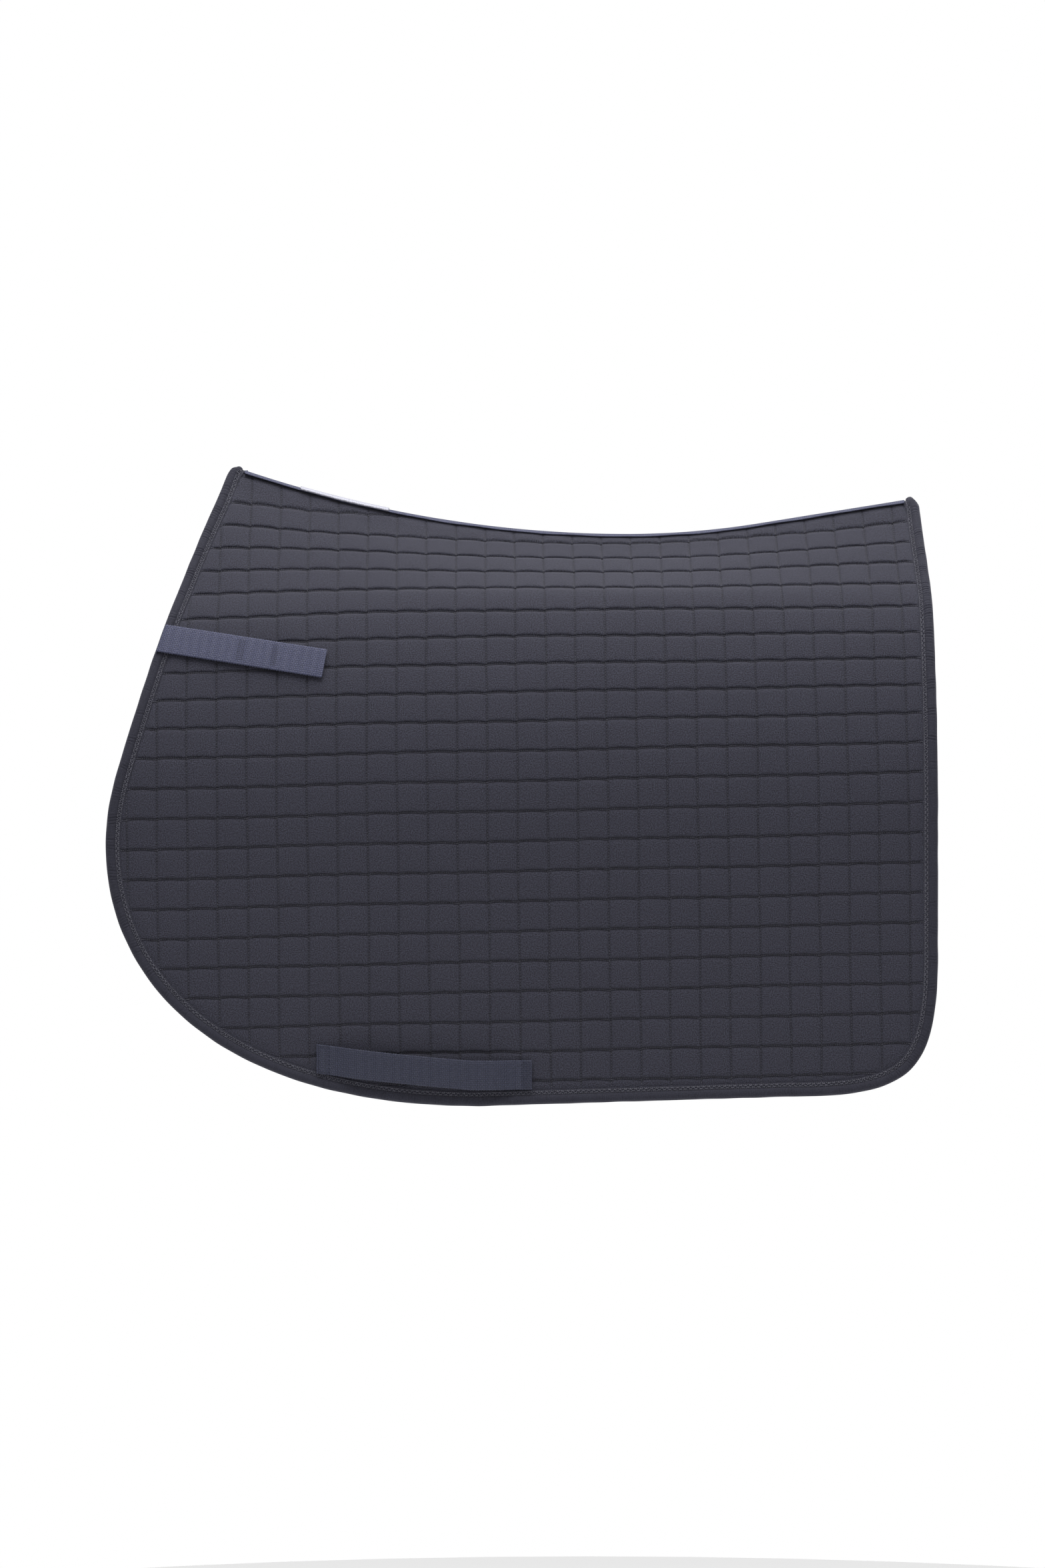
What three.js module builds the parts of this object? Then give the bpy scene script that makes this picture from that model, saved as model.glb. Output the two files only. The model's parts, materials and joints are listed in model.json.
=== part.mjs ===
// Quilted saddle pad for a riding horse: two quilted halves seamed along the spine, an edge binding,
// a girth loop and a billet strap on each side.
//
// Millimetres.  +X points to the tail, +Y to the horse's right, +Z up.  The origin is on the
// underside of the spine seam at its lowest point, where the pad lies on the horse's back.
import * as THREE from "three";

// ---- Driving sizes ----

// Spine: it dips at x = 0 and climbs to the withers (front) and to the loin (rear).
const noseX = -345;            // front end of the spine
const loinX = 254.5;           // rear end of the spine
const frontRidgeRadius = 978;
const rearRidgeRadius = 700;
const rearRidgeReach = 115;    // behind this the spine runs on straight

// Cross-section: a straight slope down to the fold line, a shoulder, a side, then a flat skirt.
const foldHalfWidth = 78;      // spine to fold line, across
const foldDrop = 51;           // spine's lowest point down to the fold line
const foldAngle = 40;          // degrees from upright, just below the fold line
const sideAngle = 25;          // degrees from upright, where shoulder meets side
const shoulderReach = 40;      // length along the cloth
const sideReach = 160;         // length along the cloth

// Outline of a flap, in the flat pattern: x along the horse, s down the cloth from the fold line.
const foldFrontX = -386;       // front edge where it crosses the fold line
const foldRearX = 258.8;       // rear edge, upright all the way down
const frontLean = 0.287;       // the front edge runs forward by this much per millimetre down
const waistDepth = 164;        // the front edge is straight down to here
const flapDepth = 443;         // lowest point of the flap
const rearRise = 8;            // the bottom edge climbs this much towards the rear
const noseReachHigh = 136;     // how far the forward bulge carries on along the front edge
const noseReachLow = 261;      // and along the bottom edge
const bottomFrontX = -128;
const rearCornerRun = 127;
const rearCornerRise = 121;
const rearCornerPull = 104;

// Layers
const coverThick = 1.0;
const foamThick = 7.4;
const liningThick = 1.0;
const layerGap = 0.3;
const bindingThick = 1.0;
const bindingWidth = 12;
const bindingGap = 0.5;

// Hinge line of a flap, and the seam between the halves
const foldGap = 2.5;           // each side of the fold line
const seamGap = 0.3;           // each side of the spine
const archSeamGap = 0.2;

// Spine webbing, seam tape and label
const tapeHalfWidth = 9;
const tapeThick = 1.6;
const tapeDroop = 2.2;
const tapeGap = 0.8;
const seamTapeWidth = 10;      // each side of the seam, along the lining
const seamTapeThick = 1.0;
const labelFrontX = -284;
const labelLength = 77;
const labelThick = 1.0;
const labelGap = 0.4;

// Webbing straps
const webbingWidth = 25;
const webbingThick = 1.5;
const loopRise = 7;             // room under the girth loop
const loopFrontX = -264;
const loopLength = 181;
const loopAboveHem = 39;       // middle of the webbing at its front end, over the flap's lowest point
const loopDip = 13.6;          // its rear end lies this much lower
const loopRampLength = 24;
const tackLength = 12;
const tackThick = 0.8;
const strapDepth = 47.5;       // where the billet strap crosses the front edge
const strapSlope = 9.4;        // degrees, down to the rear
const strapLength = 144;
const strapGap = 1.7;          // strap over the binding
const strapPivotOut = 1;       // the strap's fold stands this far ahead of the binding
const anchorLength = 46;
const patchStart = 67;
const patchLength = 32;
const patchWidth = 20;
const patchThick = 1.0;
const patchGap = 0.3;

// Mesh steps
const ridgeSteps = 20;
const slopeSteps = 4;
const crestShare = 0.88;       // where the slope's last but one row lies
const bottomSteps = 14;
const edgeStepLength = 37;     // longest step down the front edge

// ---- Derived heights over the pad's middle surface, outwards positive ----

const foamTop = foamThick / 2;
const coverIn = foamTop + layerGap;
const coverOut = coverIn + coverThick;
const liningOut = -foamTop - layerGap;
const liningIn = liningOut - liningThick;
const bindingOut = coverOut + bindingGap + bindingThick;
const bindingIn = liningIn - bindingGap - bindingThick;
const edgeInset = bindingThick + bindingGap;
const edgeSteps = Math.ceil(flapDepth / edgeStepLength);

const radians = THREE.MathUtils.degToRad;
const foldTilt = radians(foldAngle);
const sideTilt = radians(sideAngle);
const shoulderRadius = shoulderReach / (foldTilt - sideTilt);
const sideRadius = sideReach / sideTilt;

const ridgeTiltAtDip = Math.atan2(foldHalfWidth, foldDrop);
const ridgeLift = (-liningIn + layerGap + seamTapeThick) / Math.sin(ridgeTiltAtDip);
const foldZ = ridgeLift - foldDrop;

// ---- The draped surface ----

// Height of the spine's middle surface at x.
function ridgeZ(x) {
  if (x < 0) return ridgeLift + x * x / (2 * frontRidgeRadius);
  const curved = Math.min(x, rearRidgeReach);
  const straight = x - curved;
  return ridgeLift + curved * (curved / 2 + straight) / rearRidgeRadius;
}

// Tilt from upright of the slope between spine and fold line.
function slopeTilt(x) {
  return Math.atan2(foldHalfWidth, ridgeZ(x) - foldZ);
}

function slopeLength(x) {
  return Math.hypot(foldHalfWidth, ridgeZ(x) - foldZ);
}

// Where the skirt's section stands, depth s below the fold line: across, up and its tilt.
function sectionAt(s) {
  const shoulder = Math.min(s, shoulderReach);
  const side = Math.min(Math.max(s - shoulderReach, 0), sideReach);
  const skirt = Math.max(s - shoulderReach - sideReach, 0);
  const shoulderEnd = foldTilt - shoulder / shoulderRadius;
  const sideEnd = sideTilt - side / sideRadius;
  const across = foldHalfWidth
    + shoulderRadius * (Math.cos(shoulderEnd) - Math.cos(foldTilt))
    + sideRadius * (Math.cos(sideEnd) - Math.cos(sideTilt));
  const up = foldZ
    - shoulderRadius * (Math.sin(foldTilt) - Math.sin(shoulderEnd))
    - sideRadius * (Math.sin(sideTilt) - Math.sin(sideEnd))
    - skirt;
  return { across, up, tilt: s < shoulderReach ? shoulderEnd : sideEnd };
}

// A point of the pad: x along the horse, s down the cloth from the fold line (negative above it),
// n over the middle surface.  hand is -1 for the left half and 1 for the right half.
function drape(hand, x, s, n) {
  let { across, up, tilt } = sectionAt(Math.max(s, 0));
  if (s < 0) {
    tilt = slopeTilt(x);
    across += s * Math.sin(tilt);
    up -= s * Math.cos(tilt);
  }
  return new THREE.Vector3(x, hand * (across + n * Math.cos(tilt)), up + n * Math.sin(tilt));
}

// How far up the cloth a layer at height n may reach before it passes the spine seam.
function topOfSlope(x, n, gap) {
  const tilt = slopeTilt(x);
  return slopeLength(x) - Math.max(0, gap - n * Math.cos(tilt)) / Math.sin(tilt);
}

// ---- Building blocks ----

// Reverses the faces of a closed shape that came out inside out.
function facesOut(geometry) {
  const at = geometry.getAttribute("position");
  const index = geometry.getIndex().array;
  const a = new THREE.Vector3();
  const b = new THREE.Vector3();
  const c = new THREE.Vector3();
  let volume = 0;
  for (let i = 0; i < index.length; i += 3) {
    a.fromBufferAttribute(at, index[i]);
    b.fromBufferAttribute(at, index[i + 1]);
    c.fromBufferAttribute(at, index[i + 2]);
    volume += a.dot(b.cross(c));
  }
  if (volume < 0) {
    for (let i = 0; i < index.length; i += 3) {
      [index[i + 1], index[i + 2]] = [index[i + 2], index[i + 1]];
    }
  }
  return geometry;
}

// A closed skin through a row of stations.  Each station holds two lists of points of one length,
// the outer face's and the inner face's, and the first and last stations are closed by end walls.
function skin(stations) {
  const count = stations[0][0].length;
  const around = 2 * count;
  const points = stations.flatMap(([outer, inner]) => [...outer, ...[...inner].reverse()]);
  const faces = [];
  const quad = (a, b, c, d) => faces.push(a, b, c, a, c, d);
  for (let k = 0; k + 1 < stations.length; k += 1) {
    for (let i = 0; i < around; i += 1) {
      const next = (i + 1) % around;
      const [a, b] = [k * around + i, k * around + next];
      // Both faces are split along the same diagonal, so that layers nest without touching.
      if (i < count) quad(a, b, b + around, a + around);
      else quad(b, b + around, a + around, a);
    }
  }
  const last = (stations.length - 1) * around;
  for (let i = 0; i + 1 < count; i += 1) {
    quad(around - 1 - i, around - 2 - i, i + 1, i);
    quad(last + i, last + i + 1, last + around - 2 - i, last + around - 1 - i);
  }
  const geometry = new THREE.BufferGeometry().setFromPoints(points);
  geometry.setIndex(faces);
  facesOut(geometry).computeVertexNormals();
  return geometry;
}

const steps = (count) => Array.from({ length: count + 1 }, (unused, i) => i / count);
const mix = THREE.MathUtils.lerp;

const pad = new THREE.Group();

function addPiece(name, geometry, colour, roughness) {
  const material = new THREE.MeshStandardMaterial({ color: colour, roughness, metalness: 0 });
  const mesh = new THREE.Mesh(geometry, material);
  mesh.name = name;
  pad.add(mesh);
}

// ---- Slopes: the layers between the spine seam and the fold line ----

const slopeFrontX = (w) => mix(foldFrontX, noseX, w);
const slopeRearX = (w) => mix(foldRearX, loinX, w);

// Shares of the slope's length.  Only the last row, at the seam, is mitred.
const slopeShares = [...steps(slopeSteps - 1).map((w) => w * crestShare), 1];

// The last row's share is cut back where a layer would pass the seam.
function slopeShare(x, w, n, gap) {
  if (w < 1) return w;
  return (topOfSlope(x, n, gap) - foldGap) / (slopeLength(x) - foldGap);
}

// xAt gives the place along the horse for a share of the slope.
function slopePoint(hand, xAt, w, n, gap) {
  const share = slopeShare(xAt(w), w, n, gap);
  const x = xAt(share);
  return drape(hand, x, -mix(foldGap, slopeLength(x), share), n);
}

function slopeLayer(hand, nOut, nIn) {
  return skin(slopeShares.map((w) => {
    const row = (n) => steps(ridgeSteps).map((u) => {
      const xAt = (share) => mix(slopeFrontX(share) + edgeInset, slopeRearX(share) - edgeInset, u);
      return slopePoint(hand, xAt, w, n, seamGap);
    });
    return [row(nOut), row(nIn)];
  }));
}

// ---- Flaps: the layers below the fold line ----

// The flap's edge in the flat pattern, from the fold line down the front, along the bottom and up
// the rear.
const hem = new THREE.Path();
const waistX = foldFrontX - frontLean * waistDepth;
const leanLength = Math.hypot(frontLean, 1);
const rearDepth = flapDepth - rearRise;
hem.moveTo(foldFrontX - frontLean * foldGap, foldGap);
hem.lineTo(waistX, waistDepth);
hem.bezierCurveTo(
  waistX - noseReachHigh * frontLean / leanLength, waistDepth + noseReachHigh / leanLength,
  bottomFrontX - noseReachLow, flapDepth,
  bottomFrontX, flapDepth,
);
hem.lineTo(foldRearX - rearCornerRun, rearDepth);
hem.bezierCurveTo(
  foldRearX - rearCornerRun + rearCornerPull, rearDepth,
  foldRearX, rearDepth - rearCornerRise + rearCornerPull,
  foldRearX, rearDepth - rearCornerRise,
);
hem.lineTo(foldRearX, foldGap);

// The hem is shared out between the front, the bottom and the rear of the flap's grid.
const noseShare = 0.265;
const heelShare = 0.723;
const cornerDraw = 0.5;        // 0 spaces the grid evenly, 1 bunches it at the round corners
const towardsEnds = (t) => t - cornerDraw * Math.sin(2 * Math.PI * t) / (2 * Math.PI);
const towardsEnd = (t) => t + cornerDraw * Math.sin(Math.PI * t) / Math.PI;
const hemShares = [
  ...steps(edgeSteps).map((t) => towardsEnd(t) * noseShare),
  ...steps(bottomSteps).slice(1).map((t) => mix(noseShare, heelShare, towardsEnds(t))),
  ...steps(edgeSteps).slice(1).map((t) => mix(1, heelShare, towardsEnd(1 - t))),
];

// A point of the pattern, inset from the hem.
function hemPoint(share, inset) {
  const at = hem.getPointAt(share);
  const along = hem.getTangentAt(share);
  return new THREE.Vector2(at.x + along.y * inset, at.y - along.x * inset);
}

// The flap's layers share one grid, blended between its four edges.
function flapGrid() {
  const rim = hemShares.map((share) => hemPoint(share, edgeInset));
  rim[0].y = foldGap;
  rim[rim.length - 1].y = foldGap;
  const front = rim.slice(0, edgeSteps + 1);
  const bottom = rim.slice(edgeSteps, edgeSteps + bottomSteps + 1);
  const rear = rim.slice(edgeSteps + bottomSteps).reverse();
  const blend = (i, j, part) => {
    const u = towardsEnds(i / bottomSteps);
    const v = towardsEnd(j / edgeSteps);
    const top = mix(front[0][part], rear[0][part], u);
    const sides = mix(front[j][part], rear[j][part], u);
    const ends = mix(top, bottom[i][part], v);
    const low = mix(bottom[0][part], bottom[bottomSteps][part], u);
    return sides + ends - mix(top, low, v);
  };
  return Array.from({ length: edgeSteps + 1 }, (a, j) =>
    Array.from({ length: bottomSteps + 1 }, (b, i) =>
      new THREE.Vector2(blend(i, j, "x"), blend(i, j, "y"))));
}

const grid = flapGrid();

function flapLayer(hand, nOut, nIn) {
  return skin(grid.map((line) =>
    [nOut, nIn].map((n) => line.map((p) => drape(hand, p.x, p.y, n)))));
}

// ---- Edge binding: a U that grips the edge from both faces ----

// The U's outer face and inner face, as [distance in from the edge, height].
const bindingFaces = [
  [[bindingWidth, bindingOut], [0, bindingOut], [0, bindingIn], [bindingWidth, bindingIn]],
  [
    [bindingWidth, bindingOut - bindingThick], [bindingThick, bindingOut - bindingThick],
    [bindingThick, bindingIn + bindingThick], [bindingWidth, bindingIn + bindingThick],
  ],
];

function flapBinding(hand) {
  const lastShare = hemShares[hemShares.length - 1];
  return skin(hemShares.map((share) => bindingFaces.map((face) => face.map(([inset, n]) => {
    const p = hemPoint(share, inset);
    if (share === 0 || share === lastShare) p.y = foldGap;
    return drape(hand, p.x, p.y, n);
  }))));
}

// Over the spine, from fold line to fold line.  inward is 1 at the front and -1 at the rear.
function archBinding(edgeX, inward) {
  const side = (hand, w) => bindingFaces.map((face) => face.map(([inset, n]) =>
    slopePoint(hand, (share) => edgeX(share) + inward * inset, w, n, archSeamGap)));
  const crest = bindingFaces.map((face) => face.map(([inset, n]) => {
    const top = edgeX(1) + inward * inset;
    const x = edgeX(slopeShare(top, 1, n, 0)) + inward * inset;
    const height = n > 0 ? n : n / Math.sin(slopeTilt(x));
    return new THREE.Vector3(x, 0, ridgeZ(x) + height);
  }));
  return skin([
    ...slopeShares.map((w) => side(-1, w)),
    crest,
    ...[...slopeShares].reverse().map((w) => side(1, w)),
  ]);
}

// ---- Along the spine ----

// A low arched strip on the crest, base over the cover's top edge.
function crestStrip(fromX, toX, halfWidth, base, thick) {
  return skin(steps(ridgeSteps).map((u) => {
    const x = mix(fromX, toX, u);
    const crest = ridgeZ(x) + coverOut * Math.sin(slopeTilt(x)) + base;
    const row = (lift) => [-1, -0.5, 0, 0.5, 1].map((y) =>
      new THREE.Vector3(x, y * halfWidth, crest + lift - tapeDroop * y * y));
    return [row(thick), row(0)];
  }));
}

// The tape that covers the seam allowance under the lining.
function seamTape(fromX, toX) {
  const nOut = liningIn - layerGap;
  return skin(steps(ridgeSteps).map((u) => {
    const x = mix(fromX, toX, u);
    const tilt = slopeTilt(x);
    const row = (n) => {
      const edge = (hand) => drape(hand, x, seamTapeWidth - topOfSlope(x, n, 0), n);
      return [edge(-1), new THREE.Vector3(x, 0, ridgeZ(x) + n / Math.sin(tilt)), edge(1)];
    };
    return [row(nOut), row(nOut - seamTapeThick)];
  }));
}

// ---- Webbing ----

// A flat ribbon on the pad.  path gives, for a share of its length, the pattern point of its middle
// and its height; across is the half-width as a pattern vector.
function ribbon(hand, count, thick, path, across) {
  return skin(steps(count).map((t) => {
    const { x, s, n } = path(t);
    const edges = (height) => [-1, 1].map((k) =>
      drape(hand, x + k * across(t).x, s + k * across(t).y, height));
    return [edges(n + thick), edges(n)];
  }));
}

// Girth loop: sewn down at both ends, standing off the flap between them.
const loopSewn = bindingOut + layerGap;
const loopFrontDepth = flapDepth - loopAboveHem;
const loopSteps = 12;
const loopEase = 0.72;         // the webbing is level behind this share of its length

function loopMiddle(share) {
  const fall = Math.min(share / loopEase, 1);
  return { x: loopFrontX + loopLength * share, s: loopFrontDepth + loopDip * fall * (1.25 - 0.25 * fall) };
}

function loopHeight(along) {
  const fromEnd = Math.min(along, loopLength - along) - tackLength;
  return loopSewn + loopRise * THREE.MathUtils.smoothstep(fromEnd, 0, loopRampLength);
}

function girthLoop(hand) {
  const path = (t) => ({ ...loopMiddle(t), n: loopHeight(t * loopLength) });
  return ribbon(hand, loopSteps * 2, webbingThick, path, () => new THREE.Vector2(0, webbingWidth / 2));
}

function girthTack(hand, fromAlong) {
  const inset = 1.5;
  const path = (t) => ({
    ...loopMiddle((fromAlong + t * tackLength) / loopLength),
    n: loopSewn + webbingThick + patchGap,
  });
  const across = () => new THREE.Vector2(0, webbingWidth / 2 - inset);
  return ribbon(hand, 2, tackThick, path, across);
}

// Billet strap: anchored behind the lining, folded round the front edge, closed on the flap's face.
const strapOver = bindingOut + strapGap;
const edgeAlong = new THREE.Vector2(-frontLean, 1).normalize();
const edgeInward = new THREE.Vector2(edgeAlong.y, -edgeAlong.x);
const strapStart = new THREE.Vector2(foldFrontX - frontLean * strapDepth, strapDepth)
  .addScaledVector(edgeInward, -strapPivotOut);
const strapAlong = new THREE.Vector2(Math.cos(radians(strapSlope)), Math.sin(radians(strapSlope)));
// Behind the lining the webbing carries on as folded: only its run across the edge turns back.
const anchorAlong = edgeInward.clone().multiplyScalar(strapAlong.dot(edgeInward))
  .addScaledVector(edgeAlong, -strapAlong.dot(edgeAlong));

// A stretch of webbing or patch that starts some way along the strap or its anchor.  Where it
// starts at the fold, its end is cut along the edge.
function onStrap(hand, along, from, length, width, n, thick) {
  const path = (t) => {
    const p = strapStart.clone().addScaledVector(along, from + length * t);
    return { x: p.x, s: p.y, n };
  };
  const square = new THREE.Vector2(-along.y, along.x).multiplyScalar(width / 2);
  const alongEdge = edgeAlong.clone().multiplyScalar(width / 2 / square.clone().normalize().dot(edgeAlong));
  const across = (t) => (from === 0 && t === 0 ? alongEdge : square);
  return ribbon(hand, Math.ceil(length / 16), thick, path, across);
}

// ---- Assembly ----

const coverColour = "#40404b";
const foamColour = "#b9b9b4";
const liningColour = "#3b3b45";
const bindingColour = "#42424c";
const webbingColour = "#4a4c62";
const patchColour = "#2b2c36";
const labelColour = "#dcdcea";

for (const [hand, sideName] of [[-1, "left"], [1, "right"]]) {
  const add = (name, geometry, colour, roughness) =>
    addPiece(`${name}_${sideName}`, geometry, colour, roughness);
  add("cover_slope", slopeLayer(hand, coverOut, coverIn), coverColour, 0.8);
  add("foam_slope", slopeLayer(hand, foamTop, -foamTop), foamColour, 0.95);
  add("lining_slope", slopeLayer(hand, liningOut, liningIn), liningColour, 0.85);
  add("cover_flap", flapLayer(hand, coverOut, coverIn), coverColour, 0.8);
  add("foam_flap", flapLayer(hand, foamTop, -foamTop), foamColour, 0.95);
  add("lining_flap", flapLayer(hand, liningOut, liningIn), liningColour, 0.85);
  add("binding_flap", flapBinding(hand), bindingColour, 0.75);
  add("girth_loop", girthLoop(hand), webbingColour, 0.7);
  add("girth_tack_front", girthTack(hand, 0), patchColour, 0.8);
  add("girth_tack_rear", girthTack(hand, loopLength - tackLength), patchColour, 0.8);

  const anchorOut = -strapOver - webbingThick;
  const anchor = onStrap(hand, anchorAlong, 0, anchorLength, webbingWidth, anchorOut, webbingThick);
  add("strap_anchor", anchor, webbingColour, 0.7);
  const tackFrom = anchorLength - tackLength - 2;
  const tackAt = anchorOut - patchGap - tackThick;
  const tack = onStrap(hand, anchorAlong, tackFrom, tackLength, patchWidth, tackAt, tackThick);
  add("strap_anchor_tack", tack, patchColour, 0.8);
  const strap = onStrap(hand, strapAlong, 0, strapLength, webbingWidth, strapOver, webbingThick);
  add("billet_strap", strap, webbingColour, 0.7);
  const hookAt = strapOver - patchGap - patchThick;
  const hook = onStrap(hand, strapAlong, patchStart, patchLength, patchWidth, hookAt, patchThick);
  add("strap_hook_patch", hook, patchColour, 0.9);
  const loopAt = coverOut + layerGap;
  const loop = onStrap(hand, strapAlong, patchStart, patchLength, patchWidth, loopAt, patchThick);
  add("strap_loop_patch", loop, patchColour, 0.95);
}

addPiece("binding_arch_front", archBinding(slopeFrontX, 1), bindingColour, 0.75);
addPiece("binding_arch_rear", archBinding(slopeRearX, -1), bindingColour, 0.75);

const tapeEnd = bindingWidth + layerGap;
const tapeFrom = noseX + tapeEnd;
const tapeTo = loinX - tapeEnd;
addPiece("spine_tape", crestStrip(tapeFrom, tapeTo, tapeHalfWidth, tapeGap, tapeThick), webbingColour, 0.7);
addPiece("spine_seam_tape", seamTape(tapeFrom, tapeTo), liningColour, 0.8);
const labelBase = tapeGap + tapeThick + labelGap;
const label = crestStrip(labelFrontX, labelFrontX + labelLength, tapeHalfWidth, labelBase, labelThick);
addPiece("withers_label", label, labelColour, 0.6);

export default pad;
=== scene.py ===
import json
import math

import bpy
import numpy as np
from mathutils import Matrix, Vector, geometry, kdtree


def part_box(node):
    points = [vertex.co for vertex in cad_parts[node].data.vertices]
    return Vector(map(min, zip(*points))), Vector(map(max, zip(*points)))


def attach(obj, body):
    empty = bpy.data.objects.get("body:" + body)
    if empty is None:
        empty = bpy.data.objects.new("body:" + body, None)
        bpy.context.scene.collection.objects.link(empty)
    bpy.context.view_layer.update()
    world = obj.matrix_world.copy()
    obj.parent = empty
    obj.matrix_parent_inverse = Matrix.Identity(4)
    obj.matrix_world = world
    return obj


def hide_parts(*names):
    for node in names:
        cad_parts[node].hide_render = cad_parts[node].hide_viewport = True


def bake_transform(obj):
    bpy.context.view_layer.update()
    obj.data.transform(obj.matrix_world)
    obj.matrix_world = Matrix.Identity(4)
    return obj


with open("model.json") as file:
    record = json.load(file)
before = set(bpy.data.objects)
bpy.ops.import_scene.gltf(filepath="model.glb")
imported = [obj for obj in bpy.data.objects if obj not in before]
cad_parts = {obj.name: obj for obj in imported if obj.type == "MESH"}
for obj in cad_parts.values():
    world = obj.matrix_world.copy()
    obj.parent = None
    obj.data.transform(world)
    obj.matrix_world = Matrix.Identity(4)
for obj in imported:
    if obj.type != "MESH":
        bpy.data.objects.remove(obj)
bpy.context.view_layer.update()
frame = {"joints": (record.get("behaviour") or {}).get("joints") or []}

# The saddle pad is worked out in its flat pattern, in millimetres: x runs along the horse, s down
# the cloth from the fold line (negative above it) and n out of the cloth's middle surface.
mm = 0.001
hands = {"left": -1, "right": 1}
joints = {joint["name"]: joint for joint in frame["joints"]}

padShape = {
    "noseX": -345, "loinX": 254.5, "frontRidgeRadius": 978, "rearRidgeRadius": 700,
    "rearRidgeReach": 115, "foldDrop": 51, "foldAngle": 40, "sideAngle": 25,
    "shoulderReach": 40, "sideReach": 160, "foldFrontX": -386, "foldRearX": 258.8,
    "frontLean": 0.287, "waistDepth": 164, "flapDepth": 443, "rearRise": 8,
    "noseReachHigh": 136, "noseReachLow": 261, "bottomFrontX": -128,
    "rearCornerRun": 127, "rearCornerRise": 121, "rearCornerPull": 104,
    "softening": 4.0,       # the fold is rounded over twice this each way
    "ridgeSoftening": 9.0,  # and the ridge over twice this
    "ridgeReach": 16.0, "ridgeRaise": 0.75, "mitreReach": 40.0,
}
foldHalfWidth = joints["fold_right"]["pos_m"][1] / mm
foldZ = joints["fold_right"]["pos_m"][2] / mm
ridgeLift = foldZ + padShape["foldDrop"]


def mix(a, b, share):
    return a + (b - a) * share


def smoothStep(low, high, value):
    share = np.clip((value - low) / (high - low), 0, 1)
    return share * share * (3 - 2 * share)


# Camera: level, from the horse's left, at the height of the flap's middle.

cameraLook = {"lens": 100, "sensor": 36, "distance": 3.66, "x": -0.0909, "z": -0.204}


def makeCamera():
    data = bpy.data.cameras.new("camera")
    data.lens = cameraLook["lens"]
    data.sensor_width = cameraLook["sensor"]
    camera = bpy.data.objects.new("camera", data)
    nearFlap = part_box("cover_flap_left")[0].y
    camera.location = (cameraLook["x"], nearFlap - cameraLook["distance"], cameraLook["z"])
    camera.rotation_euler = (math.radians(90), 0, 0)
    bpy.context.scene.collection.objects.link(camera)
    bpy.context.scene.camera = camera


# The pad's shape in space.

def ridgeZ(x):
    ahead = np.minimum(x, 0)
    curved = np.clip(x, 0, padShape["rearRidgeReach"])
    straight = np.maximum(x, 0) - curved
    front = ahead ** 2 / (2 * padShape["frontRidgeRadius"])
    return ridgeLift + front + curved * (curved / 2 + straight) / padShape["rearRidgeRadius"]


def slopeLength(x):
    return np.hypot(foldHalfWidth, ridgeZ(x) - foldZ)


def slopeTiltAt(x):
    return np.arctan2(foldHalfWidth, ridgeZ(x) - foldZ)


# One point of the cloth; past the spine it carries on down the other half.
def drapeSharp(x, s, n):
    length = slopeLength(x)
    past = s < -length
    s = np.where(past, -2 * length - s, s)
    slopeTilt = slopeTiltAt(x)
    foldTilt, sideTilt = (math.radians(padShape[key]) for key in ("foldAngle", "sideAngle"))
    shoulderReach, sideReach = padShape["shoulderReach"], padShape["sideReach"]
    shoulderRadius = shoulderReach / (foldTilt - sideTilt)
    sideRadius = sideReach / sideTilt
    down = np.maximum(s, 0)
    shoulderEnd = foldTilt - np.minimum(down, shoulderReach) / shoulderRadius
    sideEnd = sideTilt - np.clip(down - shoulderReach, 0, sideReach) / sideRadius
    across = (foldHalfWidth + shoulderRadius * (np.cos(shoulderEnd) - math.cos(foldTilt))
              + sideRadius * (np.cos(sideEnd) - math.cos(sideTilt)))
    up = (foldZ - shoulderRadius * (math.sin(foldTilt) - np.sin(shoulderEnd))
          - sideRadius * (math.sin(sideTilt) - np.sin(sideEnd))
          - np.maximum(down - shoulderReach - sideReach, 0))
    tilt = np.where(down < shoulderReach, shoulderEnd, sideEnd)
    tilt = np.where(s < 0, slopeTilt, tilt)
    over = np.minimum(s, 0)
    # both halves' layers are mitred where they meet at the ridge
    nearRidge = np.clip(1 + (s + length) / -padShape["mitreReach"], 0, 1)
    over = over - np.where(s < 0, n / np.tan(slopeTilt) * nearRidge, 0)
    across = across + over * np.sin(tilt) + n * np.cos(tilt)
    up = up - over * np.cos(tilt) + n * np.sin(tilt)
    return np.stack([np.broadcast_to(x, across.shape), np.where(past, -across, across), up], -1)


# The draped cloth, with its fold and its ridge rounded off, in metres.  At the ridge the rounded
# cloth is lifted back to the height that the sharp one has.
def drape(hand, x, s, n):
    x, s, n = np.broadcast_arrays(np.asarray(x, float), np.asarray(s, float), np.asarray(n, float))
    nearRidge = np.exp(-((s + slopeLength(x)) / padShape["ridgeReach"]) ** 2)
    reach = mix(padShape["softening"], padShape["ridgeSoftening"], nearRidge)
    tilt = slopeTiltAt(x)
    n = n + padShape["ridgeRaise"] * padShape["ridgeSoftening"] * nearRidge * np.sin(tilt) * np.cos(tilt)
    points = sum(share / 16 * drapeSharp(x, s + step * reach, n)
                 for step, share in zip((-2, -1, 0, 1, 2), (1, 4, 6, 4, 1)))
    seam = 0.05
    points[..., 1] = hand * np.maximum(points[..., 1], seam)
    return points * mm


def outwardAt(hand, x, s, n):
    step = drape(hand, x, s, np.asarray(n) + 1.0) - drape(hand, x, s, n)
    return step / np.maximum(np.linalg.norm(step, axis=-1, keepdims=True), 1e-9)


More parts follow.
